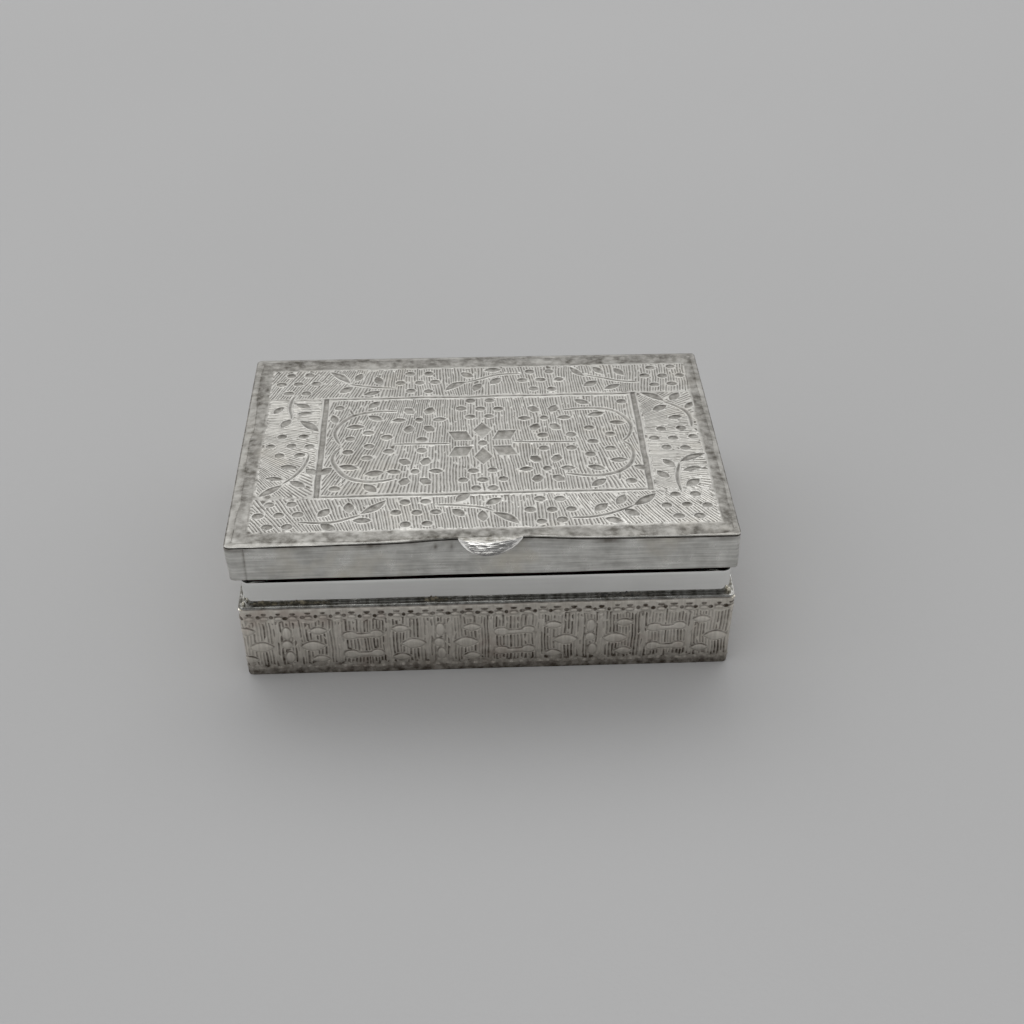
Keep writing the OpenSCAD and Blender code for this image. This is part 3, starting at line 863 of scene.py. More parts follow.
def lid_tarnish_and_shade(xy, marks, distance, far_side, inset, width, crease, field):
    """How dark the chased sheet is painted at each point, partly tarnish and partly painted shade, where
    far_side is 1 at a motif's back.
    """
    x, y = xy.T
    fx0, fx1, fy0, fy1 = FIELD
    # Hatch troughs painted dark, as tarnish deepened into painted shade; the field is also painted darker
    # towards both ends, more so to the left, and in a line along its edge.
    ground = 0.12 - 1.05 * marks
    ground += 0.10 * smooth(np.abs(x), 24, 30) + 0.24 * smooth(-x, 24, 30)
    edge = np.minimum(np.minimum(x - fx0, fx1 - x), np.minimum(y - fy0, fy1 - y))
    ground += 0.4 * np.exp(-((edge / 0.2) ** 2))
    # Beside each motif and in a ring just inside its outline: painted shade, heavier on the far side, where
    # the recess's back wall would be in shadow.
    ground = np.where(distance < 0.13, 0.08 + 0.12 * far_side, ground)
    ring = np.exp(-(((distance + WALL * 0.5) / 0.10) ** 2))
    ground = np.maximum(ground, ring * np.clip(0.72 + 0.38 * far_side, 0, 1))
    # Motif floors: painted dark as painted shade and painted reflection, heavier towards their back.
    floor = 0.76 + 0.18 * far_side + ripple(xy, 56, 1.5, 0.08)
    ground = np.where(distance < -0.1, floor, ground)
    # The plain margin: a darker grey as painted reflection, with dirt specks and a dark line along the
    # bevel's crease.
    margin = 0.76 + ripple(xy, 51, 1.8, 0.13) + ripple(xy, 53, 8, 0.13)
    margin += 0.3 * (ripple(xy, 57, 1.1, 1) > 2.0)
    margin += 0.9 * crease * np.clip(0.8 + ripple(xy, 52, 5, 0.4), 0.1, 1)
    margin -= 0.22 * smooth(width - inset, 0.02, 0.14)
    # The outer rim is painted dark as painted shade, and lighter along the front as painted highlight mixed
    # with wear.
    bright = smooth(-x, 10, 14) + smooth(x, 6, 8)
    worn = smooth(-y, HALF_D - 0.8, HALF_D - 0.4) * bright + ripple(xy, 55, 3, 0.15)
    tarnish_and_shade = np.where(field, ground, margin)
    return np.clip(np.where(inset < 0.15, 1 - 0.8 * worn, tarnish_and_shade), 0, 1)


def lid_skirt(top):
    """The sheet's edge below its top: its points, and the faces that join them to the top."""
    outer = rounded(HALF_W, HALF_D, BEND_R)
    count = len(outer)
    points, faces, above = [], [], nearest(top[:, :2], outer)
    for k, (inset, z) in enumerate([(0.0, 0.26), (0.05, 0.23), (0.24, 0.22), (0.24, 0.0)]):
        below = len(top) + k * count + np.arange(count)
        ring = rounded(HALF_W - inset, HALF_D - inset, BEND_R - inset)
        lift = np.clip(ripple(ring, 54, 4, 0.02) * (k < 3), -0.05, 0.005)
        points.append(np.column_stack([ring, SHEET_LOW[2] + z + lift]))
        faces += [(above[i], above[i + 1 - count], below[i + 1 - count], below[i]) for i in range(count)]
        above = below
    return np.concatenate(points), [*faces, above[::-1].tolist()]


def build_lid_top():
    motifs, mids = lid_motifs()
    clear = Clearance(motifs, (FIELD[0] - 1, FIELD[2] - 1), (FIELD[1] + 1, FIELD[3] + 1))
    xy, faces, marks = lid_plan(motifs, mids, clear).triangles()
    x, y = xy.T

    distance, field = clear(xy), inside(xy, *FIELD)
    inset, width = from_edge(xy, HALF_W, HALF_D, BEND_R), bevel_width(xy)
    crease = np.exp(-(((inset - width) / 0.07) ** 2))
    filed = 1 - 0.6 * smooth(-y, HALF_D - 3, HALF_D - 1.5) * smooth(x, -24, -12)
    z = sunk(distance) + HATCH * marks * smooth(distance, 0.08, 0.2)
    z -= BEVEL_DROP * filed * np.clip(1 - inset / width, 0, 1) + 0.09 * np.clip(1 - inset / 0.22, 0, 1) ** 2
    z -= 0.035 * crease
    z += ripple(xy, 41, 9, 0.012) + ripple(xy, 42, 2.6, 0.004)
    z += np.where(field, 0.03, 0)
    top = np.column_stack([xy, SHEET_HIGH[2] - 0.03 + np.minimum(z, 0.06)])

    shade = (distance[faces] <= -0.98 * WALL).all(1) | ~field[faces].all(1)
    far_side = (clear(xy + (0, 0.06)) - clear(xy - (0, 0.06))) / 0.12
    tarnish_and_shade = lid_tarnish_and_shade(xy, marks, distance, far_side, inset, width, crease, field)

    skirt, sides = lid_skirt(top)
    points = np.concatenate([top, skirt])
    back = np.clip((points[:, 1] - 10) / (HALF_D - 10), 0, 1)
    points[:, 1] += OUT_OF_SQUARE * back**4 * (HALF_W - points[:, 0]) / (2 * HALF_W)
    shade = np.concatenate([shade, np.zeros(len(sides), bool)])
    lit = len(skirt) // 4
    tarnish_and_shade = np.concatenate([tarnish_and_shade, np.full(lit, 0.1), np.full(3 * lit, 1.0)])
    add_piece(
        "lid_top_sheet", points, [*faces.tolist(), *sides], CHASED, "lid", ["lid_top"],
        shade=shade, lid=True, marks={"tarnish_and_shade": tarnish_and_shade},
    )


build_lid_top()

# Strips bent into a ring: lid band, collar and ledge


def swept(name, sections, wave, tarnish_and_shade, material, body, node, step=1.2, extra=()):
    """A closed ring through sections of half width, half depth, radius and height, for one CAD node."""
    rings = []
    for w, d, r, z in sections:
        ring = rounded(w, d, r, step, extra=extra)
        rings.append(np.column_stack([ring, np.full(len(ring), z)]))
    points = np.concatenate(rings)
    points = points + wave(points)
    faces = rings_to_faces(len(rings[0]), len(rings))
    marks = {"tarnish_and_shade": tarnish_and_shade(points)}
    add_piece(name, points, faces, material, body, [node], 35, body == "lid", marks)


# The joint of the strip, near the left end of the front, and the dark spots under the front edge:
# place along the front, depth below the top, width and strength
JOINT_X = -35.9
BAND_SPOTS = [(-7.6, 0.8, 0.4, 1.0), (-5.2, 0.7, 0.35, 0.9), (7.5, 0.5, 1.3, 0.55), (-10.5, 0.3, 0.8, 0.4)]


def build_lid_band():
    low, high = BAND_LOW[2], BAND_HIGH[2]
    inner = (HALF_W - SHEET, HALF_D - SHEET, BEND_R - SHEET)
    heights = np.concatenate([[low + 0.06], np.linspace(low + 0.25, high - 0.25, 9), [high - 0.05]])
    sections = [(*inner, low), (HALF_W - 0.08, HALF_D - 0.08, BEND_R, low)]
    sections += [(HALF_W, HALF_D, BEND_R, z) for z in heights]
    sections += [(HALF_W - 0.03, HALF_D - 0.03, BEND_R, high)]
    sections += [(*inner, z) for z in (high, high - 1.4, (low + high) / 2)]

    def joint(points):
        return np.exp(-(((points[:, 0] - JOINT_X) / 0.12) ** 2))

    def wave(points):
        within = (np.abs(points[:, 0]) < HALF_W - 0.3) & (np.abs(points[:, 1]) < HALF_D - 0.3)
        amount = np.where(within, 0, ripple(points, 61, 11, 0.030) + ripple(points, 62, 3.2, 0.010))
        amount -= np.where(within, 0, 0.07 * joint(points) * (points[:, 1] < 0))
        move = outward(points, amount)
        at_edge = smooth(points[:, 2], low + 0.5, low)
        uneven = ripple(points, 63, 13, 0.05) + ripple(points, 64, 3, 0.012) + 0.02
        move[:, 2] = at_edge * np.clip(uneven, 0, 0.12)
        return move

    def tarnish_and_shade(points):
        # Darker towards the band's top and along its foot, with dark lines at its top seam and joint and a
        # few dark spots.
        x, y, z = points.T
        front = y < -HALF_D + 1
        upper = smooth(z, high - 0.9, high - 0.1) * (0.35 + 0.35 * ripple(points, 65, 6, 1))
        at_rim = from_edge(points, HALF_W, HALF_D, BEND_R) < 0.15
        upper = np.where(at_rim & (z > high - 0.01), 1, upper)
        for place, below, wide, strong in BAND_SPOTS:
            near = ((x - place) / wide) ** 2 + ((z - high + below) / 0.45) ** 2
            upper = np.maximum(upper, strong * np.exp(-near) * front)
        upper = np.maximum(upper, joint(points) * front * (0.7 + 0.3 * ripple(points, 66, 2, 1)))
        upper += 0.12 * front * (x < -36)
        lower = smooth(z, low + 0.3, low) * 0.6
        return np.clip(np.maximum(upper, lower), 0, 1)

    fine = [x + d for x in (JOINT_X, BAND_SPOTS[0][0], BAND_SPOTS[1][0]) for d in (-0.3, -0.12, 0, 0.12, 0.3)]
    swept("lid_band_strip", sections, wave, tarnish_and_shade, BRUSHED, "lid", "lid_band", 0.9, fine)


def build_collar():
    low, high = COLLAR_LOW[2], COLLAR_HIGH[2]
    w, d = HALF_W - COLLAR_INSET, HALF_D - COLLAR_INSET
    heights = [low, LEDGE_HIGH[2] - 0.2, *np.linspace(LEDGE_HIGH[2], high - 0.12, 9)]
    sections = [(w, d, COLLAR_R, z) for z in heights]
    sections += [(w - 0.04, d - 0.04, COLLAR_R, high - 0.03), (w - 0.12, d - 0.12, COLLAR_R, high)]
    w, d, r = w - COLLAR_T, d - COLLAR_T, COLLAR_R - COLLAR_T
    sections += [(w + 0.12, d + 0.12, r, high), (w + 0.04, d + 0.04, r, high - 0.03)]
    sections += [(w, d, r, z) for z in [*heights[::-2], low + 0.01]]

    def wave(points):
        return outward(points, ripple(points, 71, 16, 0.016) + ripple(points, 72, 4.5, 0.0025))

    def tarnish_and_shade(points):
        # Darker towards the collar's foot on the ledge.
        foot = smooth(points[:, 2], LEDGE_HIGH[2] + 0.55, LEDGE_HIGH[2] + 0.1)
        return np.clip(foot * (0.75 + 0.25 * ripple(points, 73, 6, 1)), 0, 1)

    swept("collar_wall", sections, wave, tarnish_and_shade, POLISHED, "base", "collar", 0.9)


GROOVES = (0.22, 0.48)


def build_ledge():
    low, high = LEDGE_LOW[2], LEDGE_HIGH[2]
    w, d = LEDGE_HIGH[0], LEDGE_HIGH[1]
    deep = COLLAR_INSET - LEDGE_STEP
    turns = [(0.0, low), (-0.02, high - 0.10), (0.03, high - 0.02), (0.10, high), (0.16, high)]
    for at, end in zip(GROOVES, (0.42, 0.66)):
        turns += [(at, high - 0.015), (at + 0.06, high - 0.003), (end, high)]
    turns += [(deep, high + 0.015), (deep, low)]
    radii = [BEND_R - LEDGE_STEP, COLLAR_R]
    sections = [(w - i, d - i, np.interp(i, [0, deep], radii), z) for i, z in turns]

    def wave(points):
        move = outward(points, 0)
        on_top = points[:, 2] > high - 0.2
        outer = (np.abs(points[:, 0]) > w - 0.2) | (np.abs(points[:, 1]) > d - 0.2)
        move += outward(points, np.where(outer, ripple(points, 81, 5, 0.022) - 0.01, 0))
        move[:, 2] = np.where(on_top, np.clip(ripple(points, 82, 6, 0.008), -0.03, 0.02), 0)
        return move

    def tarnish_and_shade(points):
        # The ledge is painted mostly dark as a painted reflection of the dark gap under the lid, darker in
        # its grooves and at its left end, with lighter lines along its ridges as painted reflections.
        inset = from_edge(points, w, d, BEND_R - LEDGE_STEP)
        grooves = sum(np.exp(-(((inset - at) / 0.06) ** 2)) for at in GROOVES)
        ridges = sum(np.exp(-(((inset - at) / wide) ** 2)) for at, wide in ((0.35, 0.05), (0.10, 0.04)))
        left = smooth(-points[:, 0], HALF_W - 1.5, HALF_W - 1.1)
        return np.clip(0.90 + 0.08 * ripple(points, 83, 4, 1) + grooves - 0.42 * ridges + left, 0, 1)

    swept("ledge_strip", sections, wave, tarnish_and_shade, POLISHED, "base", "ledge_frame", 0.8)


build_lid_band()
build_collar()
build_ledge()

# The embossed casing. Its pattern repeats along the strip, measured from the left side's back end.

FLAT_X, FLAT_Y = 2 * (HALF_W - BEND_R), 2 * (HALF_D - BEND_R)
ARC = BEND_R * math.pi / 2
STRIP_LENGTH = 2 * (FLAT_X + FLAT_Y) + 4 * ARC
FRONT_MIDDLE = FLAT_Y + ARC + HALF_W - BEND_R
REPEAT = 23.55
FIRST_FLOWER = -31.1
RAISE = 0.10
CASING_TOP = CASING_HIGH[2]


def along_strip(s, out):
    """Place in plan at a flat length s of the strip, a distance out from its outer face."""
    s = np.clip(s, 0, STRIP_LENGTH - 1e-6)
    out = np.broadcast_to(out, s.shape)
    xy = np.zeros((len(s), 2))
    start = 0.0
    for sx, sy, length in ((-1, 1, FLAT_Y), (-1, -1, FLAT_X), (1, -1, FLAT_Y), (1, 1, FLAT_X)):
        corner = np.array([sx * FLAT_X / 2, sy * FLAT_Y / 2])
        way = np.array([0, -sy] if sx != sy else [-sx, 0])
        normal = np.array([way[1], -way[0]])
        on = (s >= start) & (s <= start + length)
        xy[on] = corner + (s - start)[on][:, None] * way + (BEND_R + out[on])[:, None] * normal
        start += length
        on = (s > start) & (s < start + ARC)
        a = ((s - start)[on] / BEND_R)[:, None]
        bend = np.cos(a) * normal + np.sin(a) * way
        xy[on] = corner + length * way + (BEND_R + out[on])[:, None] * bend
        start += ARC
    return xy


def casing_motifs():
    """Outlines raised on the casing, in flat length and height. Readings are depths below its top."""
    rng = np.random.default_rng(19)

    def up(depth):
        return CASING_TOP * (1 - depth / 14.2)

    raised, ridges, pits = [], [], []
    first = FRONT_MIDDLE + FIRST_FLOWER
    count = int(STRIP_LENGTH / REPEAT) + 1
    for k in range(-3, count):
        c = first + k * REPEAT
        if not 1.5 < c % STRIP_LENGTH < STRIP_LENGTH - 1.5 or c < -4 or c > STRIP_LENGTH + 4:
            continue
        j = rng.normal(0, 0.12, 16)
        raised += [ellipse(0.68, 1.3) + (c + j[0], up(5.2)), ellipse(0.78, 0.8) + (c - 0.1, up(7.8 + j[1]))]
        raised.append(ellipse(0.68, 1.2) + (c + 0.2 + j[2], up(10.4)))
        for side in (-1, 1):
            raised.append(leaf(3.8, 2.0, 0, 0.9, 9) + (c + 4.05 * side + j[3 + side], up(8.1)))
            small = 5.05 if side > 0 else -6.0
            for depth in (4.8, 11.0):
                raised.append(leaf(2.8, 1.45, 0, 0.9) + (c + small + j[6], up(depth + j[7 + side])))
        left = c + 9.6
        for depth, drop in ((6.0, -0.25), (10.1, -0.1)):
            knobs = [(left + j[9], up(depth)), (left + 4.2, up(depth + drop))]
            raised += [ellipse(1.15, 0.8) + knobs[0], ellipse(1.0, 0.75) + knobs[1]]
            neck = [(left - 0.6, depth - 0.1), (left + 2.0, depth + 0.15), (left + 4.5, depth + drop)]
            raised.append(stroke([(x, up(d)) for x, d in neck], 0.75, 0.9))
        for side in (-1, 1):
            depths = np.linspace(3.6, 12, 7)
            wavy = [(c + side * (1.75 + 0.35 * math.sin(0.9 * d)), up(d)) for d in depths]
            ridges.append(stroke(wavy, 0.32, 0.6, 1.0))
            depths = np.linspace(3.8, 11.8, 7)
            wavy = [(c + side * (8.1 + 0.3 * math.sin(0.8 * d + 1)), up(d)) for d in depths]
            ridges.append(stroke(wavy, 0.28, 0.6, 1.0))
    places = np.arange(1.0, STRIP_LENGTH - 1, 1.125)
    for i, s in enumerate(places):
        x = s + rng.normal(0, 0.1)
        if i % 2:
            pits.append(ellipse(0.48 * rng.uniform(0.6, 1.2), 0.25, 8) + (x, up(1.12 + rng.normal(0, 0.08))))
            raised.append(ellipse(0.62, 0.38, 10) + (x, up(1.95 + rng.normal(0, 0.05))))
        else:
            pits.append(ellipse(0.36 * rng.uniform(0.7, 1.1), 0.34, 8) + (x, up(1.76 + rng.normal(0, 0.1))))
    for s in np.arange(1.2, STRIP_LENGTH - 1, 1.45):
        raised.append(ellipse(0.32, 0.26, 8) + (s + rng.normal(0, 0.08), up(12.75 + rng.normal(0, 0.12))))

    return [
        [wound(o) for o in kind if o[:, 0].min() > 0.8 and o[:, 0].max() < STRIP_LENGTH - 0.8]
        for kind in (raised, ridges, pits)
    ]


PLAIN_TOP, PLAIN_LOW = 0.95, 1.5


def casing_plan(raised, ridges, pits, clear):
    """Every point and line that the embossed strip is meshed from, laid flat."""
    rng = np.random.default_rng(23)
    low, high = CASING_LOW[2], CASING_TOP
    plan = Plan()
    s_edge = np.linspace(0, STRIP_LENGTH, 520)
    z_edge = np.linspace(low, high, 12)[1:-1]
    loop = [(s, low) for s in s_edge] + [(STRIP_LENGTH, z) for z in z_edge]
    loop += [(s, high) for s in s_edge[::-1]] + [(0, z) for z in z_edge[::-1]]
    plan.line(loop, closed=True)
    for z in (low + 0.15, low + PLAIN_LOW, high - PLAIN_TOP, high - 0.30, high - 0.14):
        plan.line([(s, z) for s in s_edge[1:-1]])
    limits = (0.2, low + 0.2), (STRIP_LENGTH - 0.2, high - 0.2)
    rings_about(plan, raised + ridges, (0.13, 0.0, -0.16), *limits, 0.2)
    rings_about(plan, pits, (0.0, 0.1), *limits)
    t = np.arange(low + PLAIN_LOW, high - PLAIN_TOP, 0.1)

    def path(seed):
        return np.stack([seed + 0.06 * np.sin(0.7 * t + 0.25 * seed) + 0.03 * np.sin(2.1 * t + seed), t], 1)

    zone = (0.4, STRIP_LENGTH - 0.4, low + PLAIN_LOW + 0.1, high - PLAIN_TOP - 0.9)
    seeds = spaced(0.5, STRIP_LENGTH - 0.5, 0.5, lambda at: 0.0, rng)
    hatch(plan, zone, seeds, path, clear, 6, rng, margin=0.2, heights=(0.25, 1.25))
    return plan


def casing_tarnish_and_shade(z, marks, up, above, ridge, down, plain):
    """How dark the casing is painted, partly tarnish and partly painted shade, where above is 1 over a raised
    motif and 0 under it.
    """
    tarnish_and_shade = np.where(ridge < 0.05, 0.16, 0.14 - 0.8 * marks)
    # A dark outline round each raised motif, tarnish along its foot, painted heavier above it as painted
    # shade.
    around = (0.36 + 0.64 * above) * smooth(z, 1.4, 3)
    tarnish_and_shade = np.maximum(tarnish_and_shade, around * np.exp(-(((up - 0.07) / 0.12) ** 2)))
    tarnish_and_shade = np.where(up < -0.1, 0.04, tarnish_and_shade)
    tarnish_and_shade = np.maximum(np.maximum(tarnish_and_shade, smooth(-down, -0.1, -0.01)), 0)
    # Painted shade towards the foot, standing in for the dark reflection of the box's contact shadow.
    tarnish_and_shade = tarnish_and_shade + 0.50 * smooth(z, 5.5, 1.2) + 0.30 * smooth(z, 1.9, 0.4)
    tarnish_and_shade = np.where(plain & (z > CASING_TOP / 2), 0.1, tarnish_and_shade)
    return np.maximum(tarnish_and_shade, 0.9 * smooth(z, CASING_TOP - 0.22, CASING_TOP - 0.1))


def build_casing():
    low, high = CASING_LOW[2], CASING_TOP
    raised, ridges, pits = casing_motifs()
    extent = ((-1, low - 1), (STRIP_LENGTH + 1, high + 1))
    near_raised, near_ridge, near_pit = (Clearance(kind, *extent) for kind in (raised, ridges, pits))

    def clear(points):
        return np.minimum(np.minimum(near_raised(points), near_ridge(points)), near_pit(points))

    sz, faces, marks = casing_plan(raised, ridges, pits, clear).triangles()
    s, z = sz.T
    up, ridge, down = near_raised(sz), near_ridge(sz), near_pit(sz)
    plain = (z < low + PLAIN_LOW) | (z > high - PLAIN_TOP)
    out = RAISE * smooth(-up, -0.13, 0.16) - 0.14 * smooth(-down, -0.1, 0.0)
    out = np.maximum(out, 0.06 * smooth(-ridge, -0.13, 0.1))
    out = out + 0.055 * marks * smooth(clear(sz), 0.1, 0.25)
    out += np.where(plain, 0.03, 0)
    out -= 0.2 * smooth(z, high - 0.30, high) + 0.04 * smooth(z, low + 0.15, low)
    turn = s * 2 * math.pi / STRIP_LENGTH
    ring = np.column_stack([np.cos(turn) * 41, np.sin(turn) * 41, z])
    out += ripple(ring, 91, 8, 0.02) + ripple(ring, 92, 2.4, 0.008) - 0.06
    outer = np.column_stack([along_strip(s, out), z])
    above = smooth((near_raised(sz + (0, 0.06)) - near_raised(sz - (0, 0.06))) / 0.12, -0.3, 0.7)
    tarnish_and_shade = casing_tarnish_and_shade(z, marks, up, above, ridge, down, plain)

    ends, inner = [], []
    for height in (low, high):
        on = np.flatnonzero(np.abs(z - height) < 1e-6)
        ends.append(on[np.argsort(s[on])])
        inner.append(np.column_stack([along_strip(s[ends[-1]], -SHEET), z[ends[-1]]]))
    count = len(ends[0])
    back = [len(outer) + np.arange(count), len(outer) + count + np.arange(len(ends[1]))]
    strips = []
    for a, b in ((ends[0], back[0]), (back[0], back[1]), (back[1], ends[1])):
        strips += [(a[i], a[i + 1], b[i + 1], b[i]) for i in range(len(a) - 1)]
    shade = np.concatenate([(up[faces] < -0.15).all(1) | plain[faces].all(1), np.zeros(len(strips), bool)])
    piece = add_piece(
        "casing_relief", np.concatenate([outer, *inner]), [*faces.tolist(), *strips], EMBOSSED, "base",
        ["casing_strip"], shade=shade,
        marks={"tarnish_and_shade": np.concatenate([tarnish_and_shade, np.zeros(2 * count)])},
    )
    weld = bmesh.new()
    weld.from_mesh(piece.data)
    bmesh.ops.remove_doubles(weld, verts=weld.verts, dist=0.004 * MM)
    bmesh.ops.recalc_face_normals(weld, faces=weld.faces)
    weld.to_mesh(piece.data)
    weld.free()


build_casing()

# Plates: lid backing, bottom plate and velvet pad


def plate(name, high_corner, radius, z, wave, material, body, node, step=1.6, edge=0.1):
    """A closed flat plate between the heights z. wave gives the height added to its upper face."""
    (half_w, half_d), (low, high) = high_corner[:2], z
    plan = Plan()
    outer = rounded(half_w, half_d, radius, step)
    plan.line(outer, closed=True)
    plan.line(rounded(half_w - edge, half_d - edge, max(radius - edge, 0.1), step), closed=True)
    spots = spread(half_w, half_d, step)
    gap = 3 * edge + 0.3
    plan.scatter(spots[inside(spots, gap - half_w, half_w - gap, gap - half_d, half_d - gap)])
    xy, faces, _ = plan.triangles()
    inset = from_edge(xy, half_w, half_d, radius)
    turn = edge * 0.6 * (1 - smooth(inset, 0, edge * 1.2))
    upper = np.column_stack([xy, high - turn + wave(xy, inset)])
    lower = np.column_stack([xy, low + np.minimum(turn, (high - low) / 2.5)])
    rim, n = nearest(xy, outer), len(xy)
    sides = [(rim[i - 1], rim[i], rim[i] + n, rim[i - 1] + n) for i in [*range(1, len(rim)), 0]]
    faces = [*faces.tolist(), *(faces[:, ::-1] + n).tolist(), *sides]
    points, marks = np.concatenate([upper, lower]), {"tarnish_and_shade": np.zeros(2 * n)}
    return add_piece(name, points, faces, material, body, [node], 50, body == "lid", marks)


def build_plates():
    def flat(xy, inset):
        return np.zeros(len(xy))

    def crown(xy, inset):
        sunk_edge = 1 - smooth(inset, 0, 2.2)
        return -0.45 * (PAD_HIGH[2] - PAD_LOW[2]) * sunk_edge**2 + ripple(xy, 101, 14, 0.05) - 0.06

    z = (BACK_LOW[2], BACK_HIGH[2])
    plate("lid_backing_plate", BACK_HIGH, BEND_R, z, flat, POLISHED, "lid", "lid_backing")
    z = (FLOOR_LOW[2], FLOOR_HIGH[2])
    r = BEND_R - SHEET
    plate("bottom_sheet", FLOOR_HIGH, r, z, flat, BRUSHED, "base", "bottom_plate", edge=0.08)
    z = (PAD_LOW[2], PAD_HIGH[2])
    pad = plate("velvet_pad", PAD_HIGH, COLLAR_R, z, crown, VELVET, "base", "floor_pad", 0.9, 0.3)


build_plates()

# Thumb piece, solder and flux


def build_thumb():
    """A half-moon lip: the worn sheet runs out over it without a step, then rolls down to an edge painted
    lighter, partly wear and partly painted highlight.
    """
    mid = (TAB_LOW[0] + TAB_HIGH[0]) / 2 - 0.5
    half = (TAB_HIGH[0] - TAB_LOW[0]) / 2
    reach = -HALF_D - TAB_LOW[1] - 0.1
    top_z = SHEET_HIGH[2] - 0.12
    tall = 0.86 * (top_z - TAB_LOW[2])
    sections, marks = [], []
    for u in np.linspace(-1, 1, 61):
        full = max(0.02, 1 - abs(u) ** (2.2 if u < 0 else 1.9)) ** 0.6
        edge = reach * full * (1 - 0.12 * u)
        flat = 0.40 * edge
        low = (0.16 + (tall - 0.30) * full) * (1 - 0.08 * u)
        dip = full * (0.02 * math.sin(7 * u) + 0.015 * math.sin(17 * u + 1))
        section = [(0.55, top_z - 0.45), (0.45, top_z - 0.03)]
        section += [(-t * flat, top_z - 0.03 * t + dip) for t in np.linspace(0, 1, 4)]
        for k in range(1, 13):
            t = k / 12
            groove = full * (0.030 * math.sin(1.9 * k + 6 * u) + 0.018 * math.sin(1.1 * k - 13 * u))
            fall = (low - 0.14) * t**1.6
            section.append((-flat - (edge - flat) * t, top_z - fall + dip + groove * (1 - t**4)))
        under = top_z - low
        section += [(-edge + 0.02, under), (-edge * 0.6, under - 0.01)]
        section += [(-0.02, under + 0.05), (0.2, under + 0.1)]
        sections.append([(mid + half * u, -HALF_D + y, z) for y, z in section])
        # Tarnish over the top, fading to none down the roll as painted highlight mixed with wear; the
        # underside is painted dark as painted shade.
        worn = 0.88 + 0.1 * math.sin(5 * u + 1)
        marks.append([worn] * 6 + [max(0.0, worn - 0.28 * k) for k in range(12)] + [0.9, 1.0, 1.0, 1.0])
    points = np.array(sections)
    add_piece(
        "thumb_tab", points.reshape(-1, 3), bar_faces(*points.shape[:2]), TAB, "lid", ["thumb_piece"],
        70, True, {"tarnish_and_shade": np.ravel(marks)},
    )


def blob(name, centre, radii, seed, flat_below=None, replaces=()):
    """A lump of solder: a ball pulled out of true, cut level where it lies on a sheet."""
    ball = bmesh.new()
    bmesh.ops.create_icosphere(ball, subdivisions=4, radius=1)
    points = np.array([v.co for v in ball.verts])
    faces = [[v.index for v in f.verts] for f in ball.faces]
    ball.free()
    points *= (1 + ripple(points, seed, 1.8, 0.10))[:, None]
    points = points * radii + centre
    if flat_below is not None:
        points[:, 2] = np.maximum(points[:, 2], flat_below)
    add_piece(name, points, faces, SOLDER, "base", replaces, 180)


CORNERS = [(-1, -1), (1, -1), (1, 1), (-1, 1)]
BEAD_RADII = [(0.30, 0.55), (0.38, 0.85), (0.32, 0.5), (0.4, 0.5)]
DROP_INSET, DROP_RADII = 0.42, (0.42, 0.42, 0.16)


def build_solder():
    ledge = LEDGE_HIGH[2]
    for i, ((sx, sy), (wide, tall)) in enumerate(zip(CORNERS, BEAD_RADII), 1):
        inset = 0.94 + 0.08 * sx
        centre = (sx * (HALF_W - inset), sy * (HALF_D - inset), ledge)
        node = ["corner_solder"] if i == 1 else ()
        blob(f"solder_bead_{i}", centre, (wide, wide, tall), 500 + i, ledge - 0.05, node)
    for i, (sx, sy) in enumerate(CORNERS, 1):
        centre = (sx * (HALF_W - DROP_INSET), sy * (HALF_D - DROP_INSET), CASING_TOP - 0.12)
        blob(f"solder_drop_{i}", centre, DROP_RADII, 510 + i)
    fillet("solder_seam_base", "base", BEARER_LOW[2], -1, 521)
    fillet("solder_seam_lid", "lid", node_box("lid_bearer", shut=True)[1][2], 1, 522)


def fillet(name, body, z, way, seed):
    """Solder along the outer corner between a hinge bearer and the back of the box."""
    x0, x1 = BEARER_LOW[0] - 0.15, BEARER_HIGH[0] + 0.15
    x = np.linspace(x0, x1, 120)
    size = 0.38 + ripple(x[:, None], seed, 6, 0.09) + ripple(x[:, None], seed + 50, 1.5, 0.03)
    size *= np.minimum(1, np.minimum(x - x0, x1 - x) / 0.5 + 0.15)
    back = HALF_D - 0.05
    turns = np.linspace(0, math.pi / 2, 7)
    points = []
    for xi, r in zip(x, size):
        points += [(xi, back + r * (1 - math.sin(a)), z + way * r * (1 - math.cos(a))) for a in turns]
        points.append((xi, back, z - way * 0.05))
    add_piece(name, points, bar_faces(len(x), len(turns) + 1), SOLDER, body, (), 60, body == "lid")


# Patches of residue: the two ends along the front, the height, the seed and the material
FLUX = [
    (-36.2, -24.0, 0.75, 531, BROWN_FLUX),
    (-9.6, -5.4, 0.9, 532, BROWN_FLUX),
    (16.8, 24.6, 0.8, 533, BLACK_FLUX),
]


